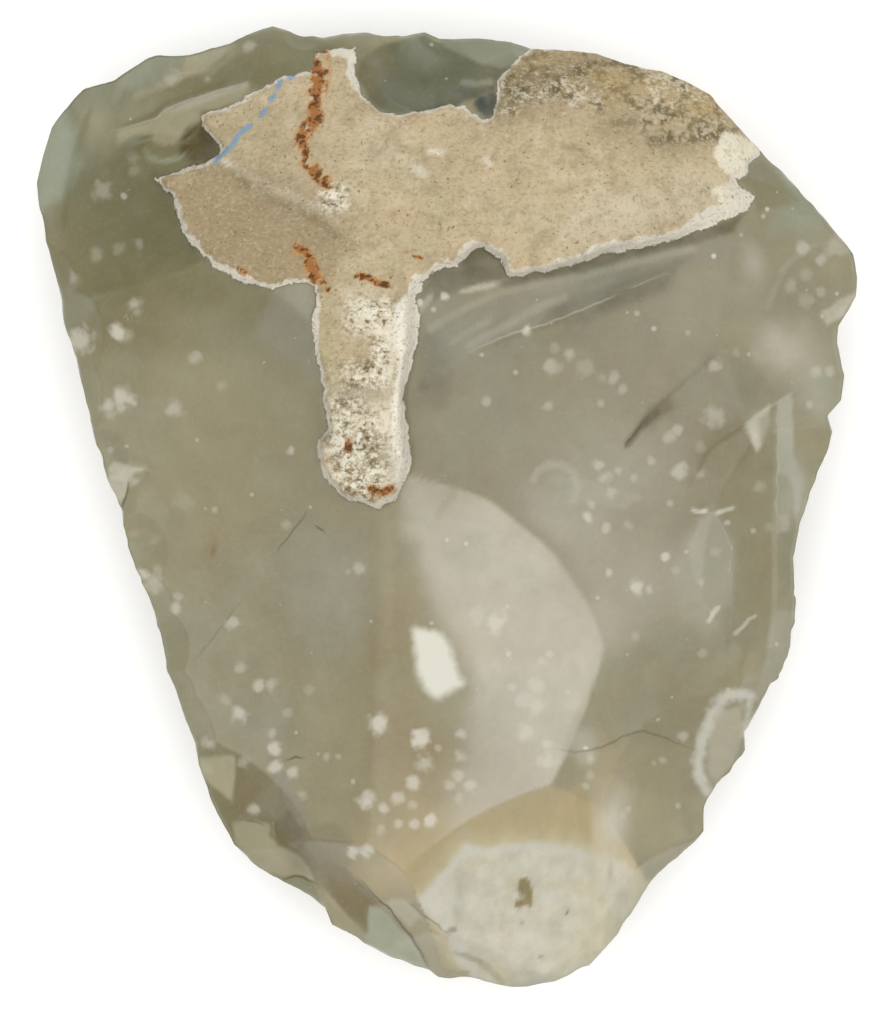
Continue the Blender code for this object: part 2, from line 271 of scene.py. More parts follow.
# steps where a flake snapped short: the drop, how far the hollow under it reaches, the low side,
# 1 to the left of the line and -1 to the right, and the line of the break
steps = [
    (0.7, 4, 1, [(-54.8, 62.8), (-48.5, 64.7), (-46.8, 66.3), (-42.7, 67.8), (-37.5, 69.3), (-33.2, 70.5)]),
    (1, 6, -1, [(-54.5, 60.8), (-49.2, 62.3), (-44.2, 61.5), (-41, 64.3), (-37.5, 66.3), (-34.2, 67.3)]),
    (0.35, 3, -1, [(-50.2, 59.3), (-48.5, 57.8), (-45.8, 58), (-42.2, 59.2)]),
    (0.5, 4, -1, [(-53.8, 69.3), (-47.8, 70.7), (-44.2, 72.3), (-39.8, 72.8), (-35.2, 75.7)]),
    (0.4, 6, -1, [(-58.2, 68.3), (-61.2, 59.7), (-62.8, 53), (-63.5, 44.7)]),
    (0.5, 5, -1, [(-41.3, -41.7), (-38.2, -41.3), (-35.2, -41.2), (-35, -44.3), (-35.8, -49.2)]),
    (0.7, 5, 1, [(-34, -52), (-31.5, -52.2), (-29.3, -52.7), (-29.3, -54.7), (-27.8, -56.2), (-24.7, -57.8),
        (-22.5, -60.7)]),
    (0.5, 6, -1, [(-23, -53), (-23.8, -55.7), (-23.7, -58.2), (-22.5, -61), (-20.3, -64.7)]),
    (0.4, 3, -1, [(-27.3, -61.8), (-25.3, -61.3), (-23.8, -61.7), (-22.2, -62.5)]),
    (1.1, 6, -1, [(-17, -59.8), (-13.8, -62.5), (-10.8, -66), (-8.2, -68.8), (-6, -71.5), (-4.3, -74.3),
        (-3, -77)]),
    (0.4, 4, -1, [(-21.5, -58.8), (-20.3, -63.5), (-16.8, -67.7), (-13.3, -71)]),
    (0.3, 4, 1, [(-13, -66.3), (-13.3, -70.5), (-13.8, -72.7)]),
    (0.4, 4, -1, [(-6.5, -65), (-3, -68), (0.2, -71), (1.5, -73.3)]),
    (0.3, 4, -1, [(-2.7, 29.3), (0.7, 31.3), (4, 33), (7.5, 34.8), (12.5, 36.3), (16, 37.2), (22.8, 38.3),
        (29.5, 40.2), (36.3, 41.8)]),
    (0.2, 3, -1, [(2.3, 27.2), (5.8, 29.3), (10.8, 32), (16, 33.8), (19.3, 34.8)]),
    (0.4, 6, -1, [(3.7, 25.7), (9.8, 28.5), (16, 30.3), (21.3, 32.3), (27.5, 35), (31.3, 36.8),
        (36, 38.7)]),
    (0.3, 7, 1, [(45.8, 27), (42.2, 24), (39, 21.2), (36.2, 18.7), (33, 16)]),
    (0.3, 6, -1, [(39.2, 2.7), (43.3, 10.2), (49.5, 14.2), (55, 17.7), (59.8, 20.3)]),
    (0.4, 6, -1, [(55, 18), (55, 5.5), (55, -15.3), (53.5, -28.7)]),
    (0.3, 6, 1, [(41.5, -1.8), (44, -0.7), (45.3, -2.5), (47.3, -6.3), (47.3, -15.3), (45.8, -25.3)]),
    (0.25, 5, 1, [(59, 42.5), (57.2, 41.2), (55.8, 39.5), (54.5, 36.3), (53.2, 33.5)]),
    (0.4, 4, -1, [(62.2, 32.5), (66, 34.7), (68.2, 36.3)]),
    (0.12, 3, -1, [(19, -40), (25.3, -39.7), (29.5, -37.7), (33.8, -37.3), (39.2, -39.3)]),
    (0.3, 2.5, 1, [(-56.2, 7.7), (-50.5, 6.5), (-53, 4.3), (-54.2, 0)]),
]

# soft hollows and swellings: centre, half widths, height
swellings = [
    ((-18.2, 46), (4, 6), -0.9), ((-38.7, 48.8), (9, 5), -0.5), ((-12, 31.7), (4, 3.5), 0.8),
    ((-14.2, 25.2), (3, 3), -0.5), ((-13.5, 9.3), (6, 7.5), 1), ((-18.8, 10.3), (2, 3.5), -0.9),
    ((-11.7, 6.7), (1.1, 2.8), -0.8), ((-15.3, 19.2), (5, 1.8), -0.7), ((12.8, -64.2), (1.2, 2.3), -1.7),
    ((11.8, -64.7), (0.7, 1), 0.9), ((-1.7, -22.8), (4, 7), 0.25), ((6.2, 40.5), (3.4, 2.2), -1),
    ((6.7, 66.7), (1.7, 2), -1.4), ((-40, 60.2), (3, 2.4), -1.2), ((-2.8, 71.3), (11, 5), -0.5),
    ((56.5, 26), (6, 5), 0.5),
]


def outlineRadius(angles):
    # the rim's distance from the middle in each direction
    ax, ay = np.array(rimLine).T
    turns = np.arctan2(ay, ax)
    order = np.argsort(turns)
    turns = np.concatenate([turns[order] - 2 * np.pi, turns[order], turns[order] + 2 * np.pi])
    ax, ay = np.tile(ax[order], 3), np.tile(ay[order], 3)
    start = np.searchsorted(turns, angles) - 1
    dx, dy = ax[start + 1] - ax[start], ay[start + 1] - ay[start]
    return (ax[start] * dy - ay[start] * dx) / (np.cos(angles) * dy - np.sin(angles) * dx)


def shareOf(x, y):
    # how far out each place is on its way to the rim, and the rim's height there
    angles = np.arctan2(y, x)
    sway = form["rimSway"] * np.sin(3 * angles + 2)
    height = form["rimHeight"] + form["rimRise"] * np.sin(angles) + sway
    return np.hypot(x, y) / outlineRadius(angles), height


def scarSkin(x, y, struck, end, hollow, roll, side, ripple):
    # the skin of a scar: part of the ball through both points with this hollow between them
    start, end = Vector(struck), Vector(end)
    chord = end - start
    radius = (chord.length ** 2 / 4 + hollow ** 2) / (2 * hollow)
    along = chord.normalized()
    outward = Vector((0, 0, side))
    outward = (outward - along * outward.dot(along)).normalized()
    outward.rotate(Quaternion(along, math.radians(roll)))
    centre = (start + end) / 2 + outward * (radius - hollow)
    under = radius ** 2 - (x - centre.x) ** 2 - (y - centre.y) ** 2
    skin = centre.z - side * np.sqrt(np.clip(under, 0, None))
    # ripples ring out from the blow and fade in after the first few millimetres
    reach = np.hypot(x - struck[0], y - struck[1])
    waves = np.sin(2 * np.pi * (reach / form["rippleSpacing"]) ** 0.85 + struck[0])
    skin = skin + ripple * waves * easeIn(2, 14, reach)
    return np.where(under > 0, skin, side * 1e3)


def meltTo(first, second, side, rounding):
    # the lower of two surfaces, or the higher on the back, with the ridge between them eased
    overlap = np.clip(rounding - np.abs(first - second), 0, None)
    pick = np.minimum(first, second) if side > 0 else np.maximum(first, second)
    return pick - side * overlap ** 2 / (4 * rounding)


def frontBlank(x, y, share, edge, crownHeight, footFall):
    across = x - form["crownCentre"][0]
    up = y - form["crownCentre"][1]
    fall = np.where(up > 0, form["crownFall"], footFall)
    crown = crownHeight - form["crownFall"] * across ** 2 - fall * up ** 2
    fullness = np.sqrt(1 - np.clip(share, 0, 1) ** form["frontShoulder"])
    return edge + (crown - edge) * fullness


def backBlank(x, y, share, edge):
    away = (x - form["keelCentre"][0]) ** 2 + (y - form["keelCentre"][1]) ** 2
    keel = form["keelFall"] * away - form["keelDepth"]
    fullness = np.sqrt(1 - np.clip(share, 0, 1) ** form["backShoulder"])
    return edge + (keel - edge) * fullness


chips = {1: [], -1: []}  # small flakes off the edge: front and back, filled in below


def faceHeight(x, y, side, skins=None):
    # the flint's own surface on the front, side 1, or the back, side -1; skins collects its layers
    share, edge = shareOf(x, y)
    if side > 0:
        height = frontBlank(x, y, share, edge, form["crownHeight"] - cortexForm["rind"], 0)
        scars = frontScars
    else:
        height = backBlank(x, y, share, edge)
        scars = backScars
    if skins is not None:
        skins.append(height)
    softX, softWide, softRound = form["softRidge"]
    soft = np.exp(-(((x - softX) / softWide) ** 2)) * easeIn(6, 0, y) * (side > 0)
    rounding = form["ridgeRounding"] + softRound * soft
    for struck, end, hollow, roll, tone in scars.values():
        skin = scarSkin(x, y, struck, end, hollow, roll, side, form["rippleHeight"])
        if skins is not None:
            skins.append(skin)
        height = meltTo(height, skin, side, rounding)
    for struck, end, hollow in chips[side]:
        near = np.hypot(x - end[0], y - end[1]) < form["chipReach"]
        skin = scarSkin(x, y, struck, end, hollow, 0, side, form["chipRipple"])
        height = np.where(near, meltTo(height, skin, side, form["ridgeRounding"]), height)
    return height


def strikeChips(side, draw):
    # small flakes all round the edge, each from the rim up the face that is there by then
    for number in range(form["edgeChips"]):
        angle = (number + draw.uniform(-0.45, 0.45)) * 2 * math.pi / form["edgeChips"]
        length = draw.choice(form["chipLengths"])
        bite = draw.uniform(*form["chipBite"])
        hollow = length * draw.uniform(*form["chipHollow"])
        nearby = np.array([angle - 0.03, angle, angle + 0.03])
        rimX, rimY = outlineRadius(nearby) * (np.cos(nearby), np.sin(nearby))
        inward = math.atan2(rimY[2] - rimY[0], rimX[2] - rimX[0]) + math.pi / 2
        inward += draw.uniform(-form["chipSwing"], form["chipSwing"])
        rimX, rimY = rimX[1], rimY[1]
        endX = rimX + length * math.cos(inward)
        endY = rimY + length * math.sin(inward)
        edge = float(shareOf(np.array([rimX]), np.array([rimY]))[1][0])
        endHeight = float(faceHeight(np.array([endX]), np.array([endY]), side)[0])
        if side * (endHeight - edge) > form["chipRise"]:
            struck = (rimX, rimY, edge - side * bite)
            chips[side].append((struck, (endX, endY, endHeight), hollow))
            # a flake that would eat far into the edge is left out
            around = angle + np.linspace(-0.16, 0.16, 25)
            nearRim = form["edgeKept"] * outlineRadius(around)
            places = nearRim * np.cos(around), nearRim * np.sin(around)
            if (faceHeight(*places, 1) - faceHeight(*places, -1)).min() < form["thinnestEdge"]:
                chips[side].pop()


def pressSquareToDisc(verts, lift):
    # each square ring of the grid becomes a round one, and the rings draw closer at the rim
    for vert in verts:
        u, v = vert.co.x, vert.co.y
        reach = max(abs(u), abs(v))
        angle = 0.0
        if reach > 0:
            if abs(u) >= abs(v):
                angle = math.pi / 4 * v / u + (math.pi if u < 0 else 0)
            else:
                angle = math.pi / 2 - math.pi / 4 * u / v + (math.pi if v < 0 else 0)
        tight = form["rimTightening"]
        ring = reach * (1 + tight) - tight * reach * reach
        atRim = reach > 1 - 1e-5
        vert.co = (ring * math.cos(angle), ring * math.sin(angle), 0 if atRim else lift)


bm = bmesh.new()
cells = form["frontCells"]
front = bmesh.ops.create_grid(bm, x_segments=cells, y_segments=cells, size=1)["verts"]
pressSquareToDisc(front, 1)
back = bmesh.ops.create_grid(bm, x_segments=cells // 2, y_segments=cells // 2, size=1)["verts"]
pressSquareToDisc(back, -1)
backSet = set(back)
backRim = [edge for edge in bm.edges if edge.is_boundary and edge.verts[0] in backSet]
bmesh.ops.subdivide_edges(bm, edges=backRim, cuts=1)
for vert in bm.verts:
    if vert.co.z == 0:
        vert.co.normalize()
bmesh.ops.remove_doubles(bm, verts=[v for v in bm.verts if v.co.z == 0], dist=0.0002)
bmesh.ops.triangulate(bm, faces=[face for face in bm.faces if len(face.verts) > 4])
bm.verts.ensure_lookup_table()
disc = np.array([vert.co for vert in bm.verts])
side = np.sign(disc[:, 2])
print("blank mesh", len(bm.verts), "vertices,", sum(1 for e in bm.edges if e.is_boundary), "open edges")


def soundShare(directions):
    # how far out the stone is still solid, where a scar has taken the very edge
    radius = outlineRadius(directions)
    sound = np.full(directions.shape, 0.9)
    for share in np.linspace(0.9, 1.0, 201):
        x, y = radius * share * np.cos(directions), radius * share * np.sin(directions)
        thick = faceHeight(x, y, 1) - faceHeight(x, y, -1)
        sound = np.where(thick >= form["thinnestEdge"], share, sound)
    return sound


# the worked edge stays on the rim line; only the small edge chips notch it
angles = np.arctan2(disc[:, 1], disc[:, 0])
rimAngles = np.linspace(-np.pi, np.pi, 1441)
scarredShare = soundShare(rimAngles)
draw = random.Random(11)
strikeChips(1, draw)
strikeChips(-1, draw)
print("edge chips", len(chips[1]), "front and", len(chips[-1]), "back")
chippedShare = soundShare(rimAngles)
teeth = [noise.noise(Vector((math.cos(a) * 34, math.sin(a) * 34, 0))) for a in rimAngles]
reach = np.hypot(disc[:, 0], disc[:, 1])
atEdge = easeIn(0.75, 1.0, reach)
pullIn = 1 - (1 - np.interp(angles, rimAngles, chippedShare)) * atEdge
stretch = 1 + (1 / np.interp(angles, rimAngles, scarredShare) - 1) * atEdge
ragged = form["fuller"] + form["ragged"] * np.interp(angles, rimAngles, teeth)
ragged = ragged * easeIn(0.9, 1.0, reach)
radius = outlineRadius(angles) * pullIn
x = radius * disc[:, 0]
y = radius * disc[:, 1]
frontZ = faceHeight(x, y, 1)
backZ = faceHeight(x, y, -1)
share, edge = shareOf(x, y)
x = x * stretch + ragged * np.cos(angles)
y = y * stretch + ragged * np.sin(angles)
print("edge notched by", round(float((scarredShare - chippedShare).max()), 3), "at most")
inland = easeIn(1.0, 0.965, reach)  # details die away at the rim itself

for drop, wide, low, points in steps:
    away, hand, along = lineDistance(x, y, points)
    total = lineLength(points)
    ends = easeIn(0, 4, along) * easeIn(total, total - 4, along)
    under = np.where(hand == low, 1.0, 0.0) * easeIn(0, 0.9, away) * easeIn(wide, 0, away)
    frontZ = frontZ - drop * under * ends * inland

wave = cloud("waves", x, y)
fine = cloud("fineWaves", x, y)
frontZ = frontZ + (form["waveHeight"][0] * wave + form["fineHeight"][0] * fine) * inland

# the cortex: a rind that stands above the flint, with a broken white edge of uneven width
rindWide = np.full(len(x), cortexForm["edgeWidth"])
for middle, halfWidths, wide in cortexForm["wideEdges"]:
    wider = cortexForm["edgeWidth"] + (wide - cortexForm["edgeWidth"]) * mound(middle, halfWidths)
    rindWide = np.maximum(rindWide, wider)
cortexDeep = insideDistance(x, y, cortexLine) + cloud("cortexEdge", x, y)
crownZ = frontBlank(x, y, share, edge, form["crownHeight"], form["stemFall"])
wall = easeIn(-0.1, np.clip(0.9 * rindWide, 0.9, 3), cortexDeep)
crust = np.maximum(crownZ, frontZ + cortexForm["leastRind"])
crust = crust + cloud("cortexLumps", x, y) + cloud("cortexGrain", x, y)
away, hand, along = lineDistance(x, y, creaseLine)
fold = easeIn(0, 1.2, away) * easeIn(7, 1, away) * easeIn(0, 6, along) * np.where(hand < 0, 1.0, 0.0)
crust = crust - cortexForm["foldDepth"] * fold
frontZ = frontZ + (crust - frontZ) * wall * inland

knobs = np.zeros(len(x))
for middle, halfWidths in cortexForm["crumbSpots"]:
    knobs = np.maximum(knobs, mound(middle, halfWidths, 4))
knobs = knobs * easeIn(0, 1.2, cortexDeep)
frontZ = frontZ + (cloud("stemCrumbs", x, y) + cloud("stemLumps", x, y)) * knobs

for middle, halfWidths, height in swellings:
    frontZ = frontZ + height * mound(middle, halfWidths) * inland

chalkDeep = insideDistance(x, y, chalkLine) + cloud("chalkEdge", x, y)
frontZ = frontZ + cloud("chalkGrain", x, y) * easeIn(0, 2, chalkDeep) * inland

skinDeep = insideDistance(x, y, skinLine) + cloud("skinEdge", x, y)
roughBack = cloud("skinGrain", x, y) * easeIn(0, 2, skinDeep)
backZ = backZ + (form["waveHeight"][1] * wave + form["fineHeight"][1] * fine + roughBack) * inland
backZ = np.maximum(backZ, 0)

rimZ = (faceHeight(x, y, 1) + faceHeight(x, y, -1)) / 2
z = np.where(side > 0, np.maximum(frontZ, backZ + 0.05), np.where(side < 0, backZ, rimZ))

for vert, place in zip(bm.verts, zip((x * mm).tolist(), (y * mm).tolist(), (z * mm).tolist())):
    vert.co = place
bmesh.ops.recalc_face_normals(bm, faces=bm.faces)
mesh = bpy.data.meshes.new("flintStone")
bm.to_mesh(mesh)
bm.free()
mesh.shade_smooth()
nodule = addObject("flintStone", mesh)
print("stone", len(mesh.polygons), "faces, height", round(float(z.max()), 2))


tones = {
    "body": "#7B745A",
    "shade": "#726B51",
    "olive": "#585536",
    "moss": "#645D3D",
    "slate": "#4B4A31",
    # pale pinkish, partly the flint's own tone and partly a painted sheen on the centre scar
    "blushAndSheen": "#9D9787",
    "roseAndSheen": "#A49D8E",
    "fawn": "#7C765E",
    "bronze": "#6E664E",
    "ash": "#898574",
    "honey": "#978965",
    "amber": "#8E7F5B",
    "tan": "#80765A",
    "mist": "#7A7F6B",
    "sage": "#70715C",
    "frost": "#8B8D7A",
    "straw": "#867F64",
    "butter": "#8E876C",
    "bark": "#433600",
    "peat": "#655A3D",
    # painted shadow under the cortex's raised edge
    "rindShadow": "#4C4831",
    "pearl": "#969384",
    "bone": "#A39E8C",
    "ivory": "#B1AD9E",
    "lilac": "#77756A",
    "grey": "#6E6B59",
    # painted shade along the cortex's raised edge
    "cortexEdgeShade": "#514E39",
    "umber": "#342B00",
    "toffee": "#716544",
    "stain": "#826030",
    "pitBlue": "#2D362E",
    "chalk": "#A6A28F",
    "chalkBlue": "#A9A79C",
    "chalkWarm": "#A69C7F",
    "chalkWhite": "#B1ADA0",
    "chalkGrey": "#949283",
    "pitBrown": "#7B6F4B",
    "crustTan": "#A99B7C",
    "crustWarm": "#AF9E7F",
    "crustYellow": "#A19475",
    "crustGreyAndShade": "#8E7E60",
    "crustPaleAndHighlight": "#B9AE95",
    "crustDullAndShade": "#867C65",
    "dirtAndShade": "#665A3A",
    "dirtDark": "#4B4023",
    "dirtGrain": "#A99E7C",
    "ochre": "#A18C5E",
    "stemCream": "#D2CBB6",
    "stemWhite": "#D7D2C3",
    "stemBrown": "#A19174",
    "stemGreen": "#9D9472",
    # painted shadow in the stem's hollows
    "stemHollowShadow": "#5C4E30",
    "rustCrumb": "#6F4F29",
}
toneColour = {name: np.array(hexColour(code)[:3]) for name, code in tones.items()}

# broad clouds in the stone: tone, middle, half widths, turn in degrees, strength
clouds = [
    ("olive", (-47.8, 36.3), (20, 9), -20, 0.8),
    ("olive", (-56.2, 46.3), (9, 12), 0, 0.5),
    # darker moss tone under the cortex's left lobe, painted shade along its edge
    ("moss", (-31.8, 32.7), (10, 4.5), -20, 0.9),
    ("moss", (-54.5, 28), (9, 9), 0, 0.5),
    ("shade", (-57.8, 11.3), (6, 14), 15, 0.4),
    # painted shade beside the stem and under the cortex's left lobe
    ("shade", (-24.5, 26.3), (6, 8), 0, 0.6),
    ("shade", (-27.8, -18.7), (16, 12), 0, 0.7),
    ("lilac", (-21.2, -15.3), (10, 14), 0, 0.3),
    ("shade", (-34.5, -30.3), (9, 9), 0, 0.5),
    ("toffee", (-8.5, -24.5), (4.5, 17), 0, 0.9),
    ("tan", (-4.5, -37.8), (8, 5), -30, 0.7),
    ("honey", (-7.8, -59), (13, 6), 30, 0.95),
    ("amber", (-5.3, -48.7), (7, 6), 0, 0.45),
    ("amber", (-3.7, -57), (5, 4), 40, 0.5),
    ("lilac", (-30.3, -36.2), (4, 8), 30, 0.35),
    # painted shade beside the stem and under the cortex's right lobe, where the raised crust shades the
    # flint
    ("shade", (0.5, 18), (8, 16), 0, 0.75),
    ("grey", (-1.7, 22.7), (4, 8), 0, 0.8),
    ("cortexEdgeShade", (-2.2, 22.3), (3.4, 8), 0, 0.4),
    ("shade", (16.8, 27.5), (12, 4), 17, 0.9),
    ("cortexEdgeShade", (18.8, 28.3), (11, 3), 19, 0.35),
    ("fawn", (18.8, 18), (12, 7), 10, 0.3),
    ("ash", (29.2, -15.3), (10, 9), -20, 0.55),
    ("blushAndSheen", (26.2, -18.7), (3.5, 8), 5, 0.35),
    ("ash", (8.8, -44.5), (9, 6), 0, 0.4),
    ("ash", (6.5, -36), (6, 6), 0, 0.55),
    ("ash", (34.7, -9.5), (7, 6), 0, 0.5),
    ("ash", (29.7, 6.3), (10, 8), 0, 0.6),
    ("fawn", (18.8, 11.3), (12, 7), 0, 0.6),
    ("bronze", (48, 43.8), (9, 4), 25, 0.4),
    ("ash", (42.2, 34.7), (12, 8), 20, 0.3),
    ("mist", (59.3, 48.8), (4.5, 3.5), -45, 0.5),
    ("pearl", (50.7, 40.5), (1.9, 3.6), 10, 0.85),
    ("ash", (49.2, 36), (1.8, 1.5), 0, 0.6),
    ("pearl", (56.5, 26), (5, 4.8), 0, 0.85),
    ("bone", (54.5, 28.7), (1.6, 2), 0, 0.5),
    ("bone", (59.7, 30), (1.5, 2.4), 15, 0.6),
    ("bone", (51.5, 25.2), (1, 1.4), 0, 0.6),
    ("frost", (60.8, 21.7), (2.6, 1.6), 20, 0.5),
    ("tan", (64.2, 37.3), (4, 6), 0, 0.5),
    ("bronze", (49.7, 20), (5.5, 5), 0, 0.8),
    ("bronze", (53.8, 22.7), (5, 3), 0, 0.4),
    ("shade", (34.7, -30.3), (9, 7), 0, 0.6),
    ("shade", (40.5, -23.7), (7, 5), 0, 0.4),
    ("honey", (48.8, -27.3), (2.6, 2.2), 0, 0.4),
    ("sage", (56.7, -9), (2.4, 8), 0, 0.7),
    ("bronze", (58.8, 33.8), (6, 7), 0, 0.7),
    ("bronze", (63.8, 38), (4, 5), 0, 0.5),
    ("peat", (46.3, 9.3), (5, 4), 40, 0.8),
    ("stain", (-39, -6.7), (0.9, 2.4), -12, 0.4),
    ("umber", (-38.8, -7.2), (0.4, 0.9), -12, 0.5),
    ("stain", (-36.3, -4.7), (0.7, 1.4), 0, 0.2),
    ("stain", (-51.5, -3.5), (2.2, 0.9), 0, 0.3),
    ("bone", (-52.2, -4.3), (0.8, 0.5), 0, 0.6),
    ("bone", (-48.8, -5.5), (0.9, 0.5), 30, 0.4),
    ("moss", (-52.8, 32.7), (11, 5), -8, 0.6),
    # painted shade along the edge of the cortex's left lobe
    ("moss", (-36.2, 36.3), (8, 4), -25, 0.4),
    ("honey", (-3.2, -60.7), (5, 4.5), 40, 0.6),
    ("bronze", (4.7, 18), (10, 8), 20, 0.7),
    # painted shade just under the cortex's right lobe
    ("shade", (28.8, 34.7), (14, 3), 15, 0.5),
    ("ash", (19.7, 1.3), (6, 5), 0, 0.5),
    ("blushAndSheen", (22.7, -39), (2.6, 3), 0, 0.6),
    ("ash", (-17, -12), (7, 9), 0, 0.45),
    ("pearl", (61.8, 18), (2.8, 4), 0, 0.6),
    ("pearl", (58.5, 3.7), (1.6, 4.5), 0, 0.9),
    ("ivory", (51.8, 14), (1.2, 2), 30, 0.4),
    ("bone", (56.5, 26), (3.8, 4.2), 0, 0.6),
    ("ivory", (27.5, -52.3), (3, 7), -8, 0.85),
    ("toffee", (-2.8, -38.3), (6.5, 8), 0, 0.95),
    ("toffee", (-8.7, -32.3), (5, 12), 0, 0.4),
    ("straw", (36.3, -54), (5, 4), 0, 0.6),
    ("honey", (26.2, -43.7), (3.5, 6), 0, 0.55),
    ("honey", (32.2, -48.7), (4, 8), 0, 0.2),
    ("tan", (59.8, 11.3), (2.6, 4), 0, 0.6),
    ("fawn", (59.3, 16.3), (2, 3), 0, 0.3),
    ("mist", (62.5, 19.7), (2, 2.5), 0, 0.5),
    ("straw", (8.8, 36), (4, 1.2), 10, 0.3),
    ("moss", (-24.5, 76.3), (13, 3), -8, 0.9),
    ("straw", (-11.2, 77.7), (7, 1.6), 0, 0.35),
    ("straw", (-58.7, 63.8), (3.4, 4.2), 0, 0.6),
    ("sage", (42.2, -2), (3, 3), 0, 0.2),
    ("tan", (-52.8, -2.8), (4, 5), 0, 0.4),
    ("straw", (-42.8, -32), (3.5, 9), 15, 0.45),
    ("shade", (-34.5, -28), (12, 13), 0, 0.5),
    ("shade", (-40.7, -19), (8, 9), 0, 0.9),
    ("straw", (-40.3, 21.7), (8, 5), 0, 0.5),
    ("straw", (-49.5, -13.7), (3, 5), 15, 0.5),
    ("bark", (-26.7, -54.7), (3, 3.5), 0, 0.8),
    ("peat", (-30.8, -48.7), (3, 4), 0, 0.4),
    ("olive", (-24.5, 76.7), (12, 2.2), -6, 0.6),
    # painted shade just under the cortex's right lobe
    ("cortexEdgeShade", (25.5, 38.7), (5, 1.8), 15, 0.5),
    ("bark", (46.3, 9.3), (4.5, 3.6), 40, 0.4),
    ("moss", (-62.5, 37.3), (4, 8), 0, 0.5),
    ("body", (-41.2, 31), (6, 4), 0, 0.5),
    ("ash", (18.2, -2), (7, 3.4), -40, 0.75),
    ("ash", (24.2, -6.7), (5, 6), 0, 0.7),
]

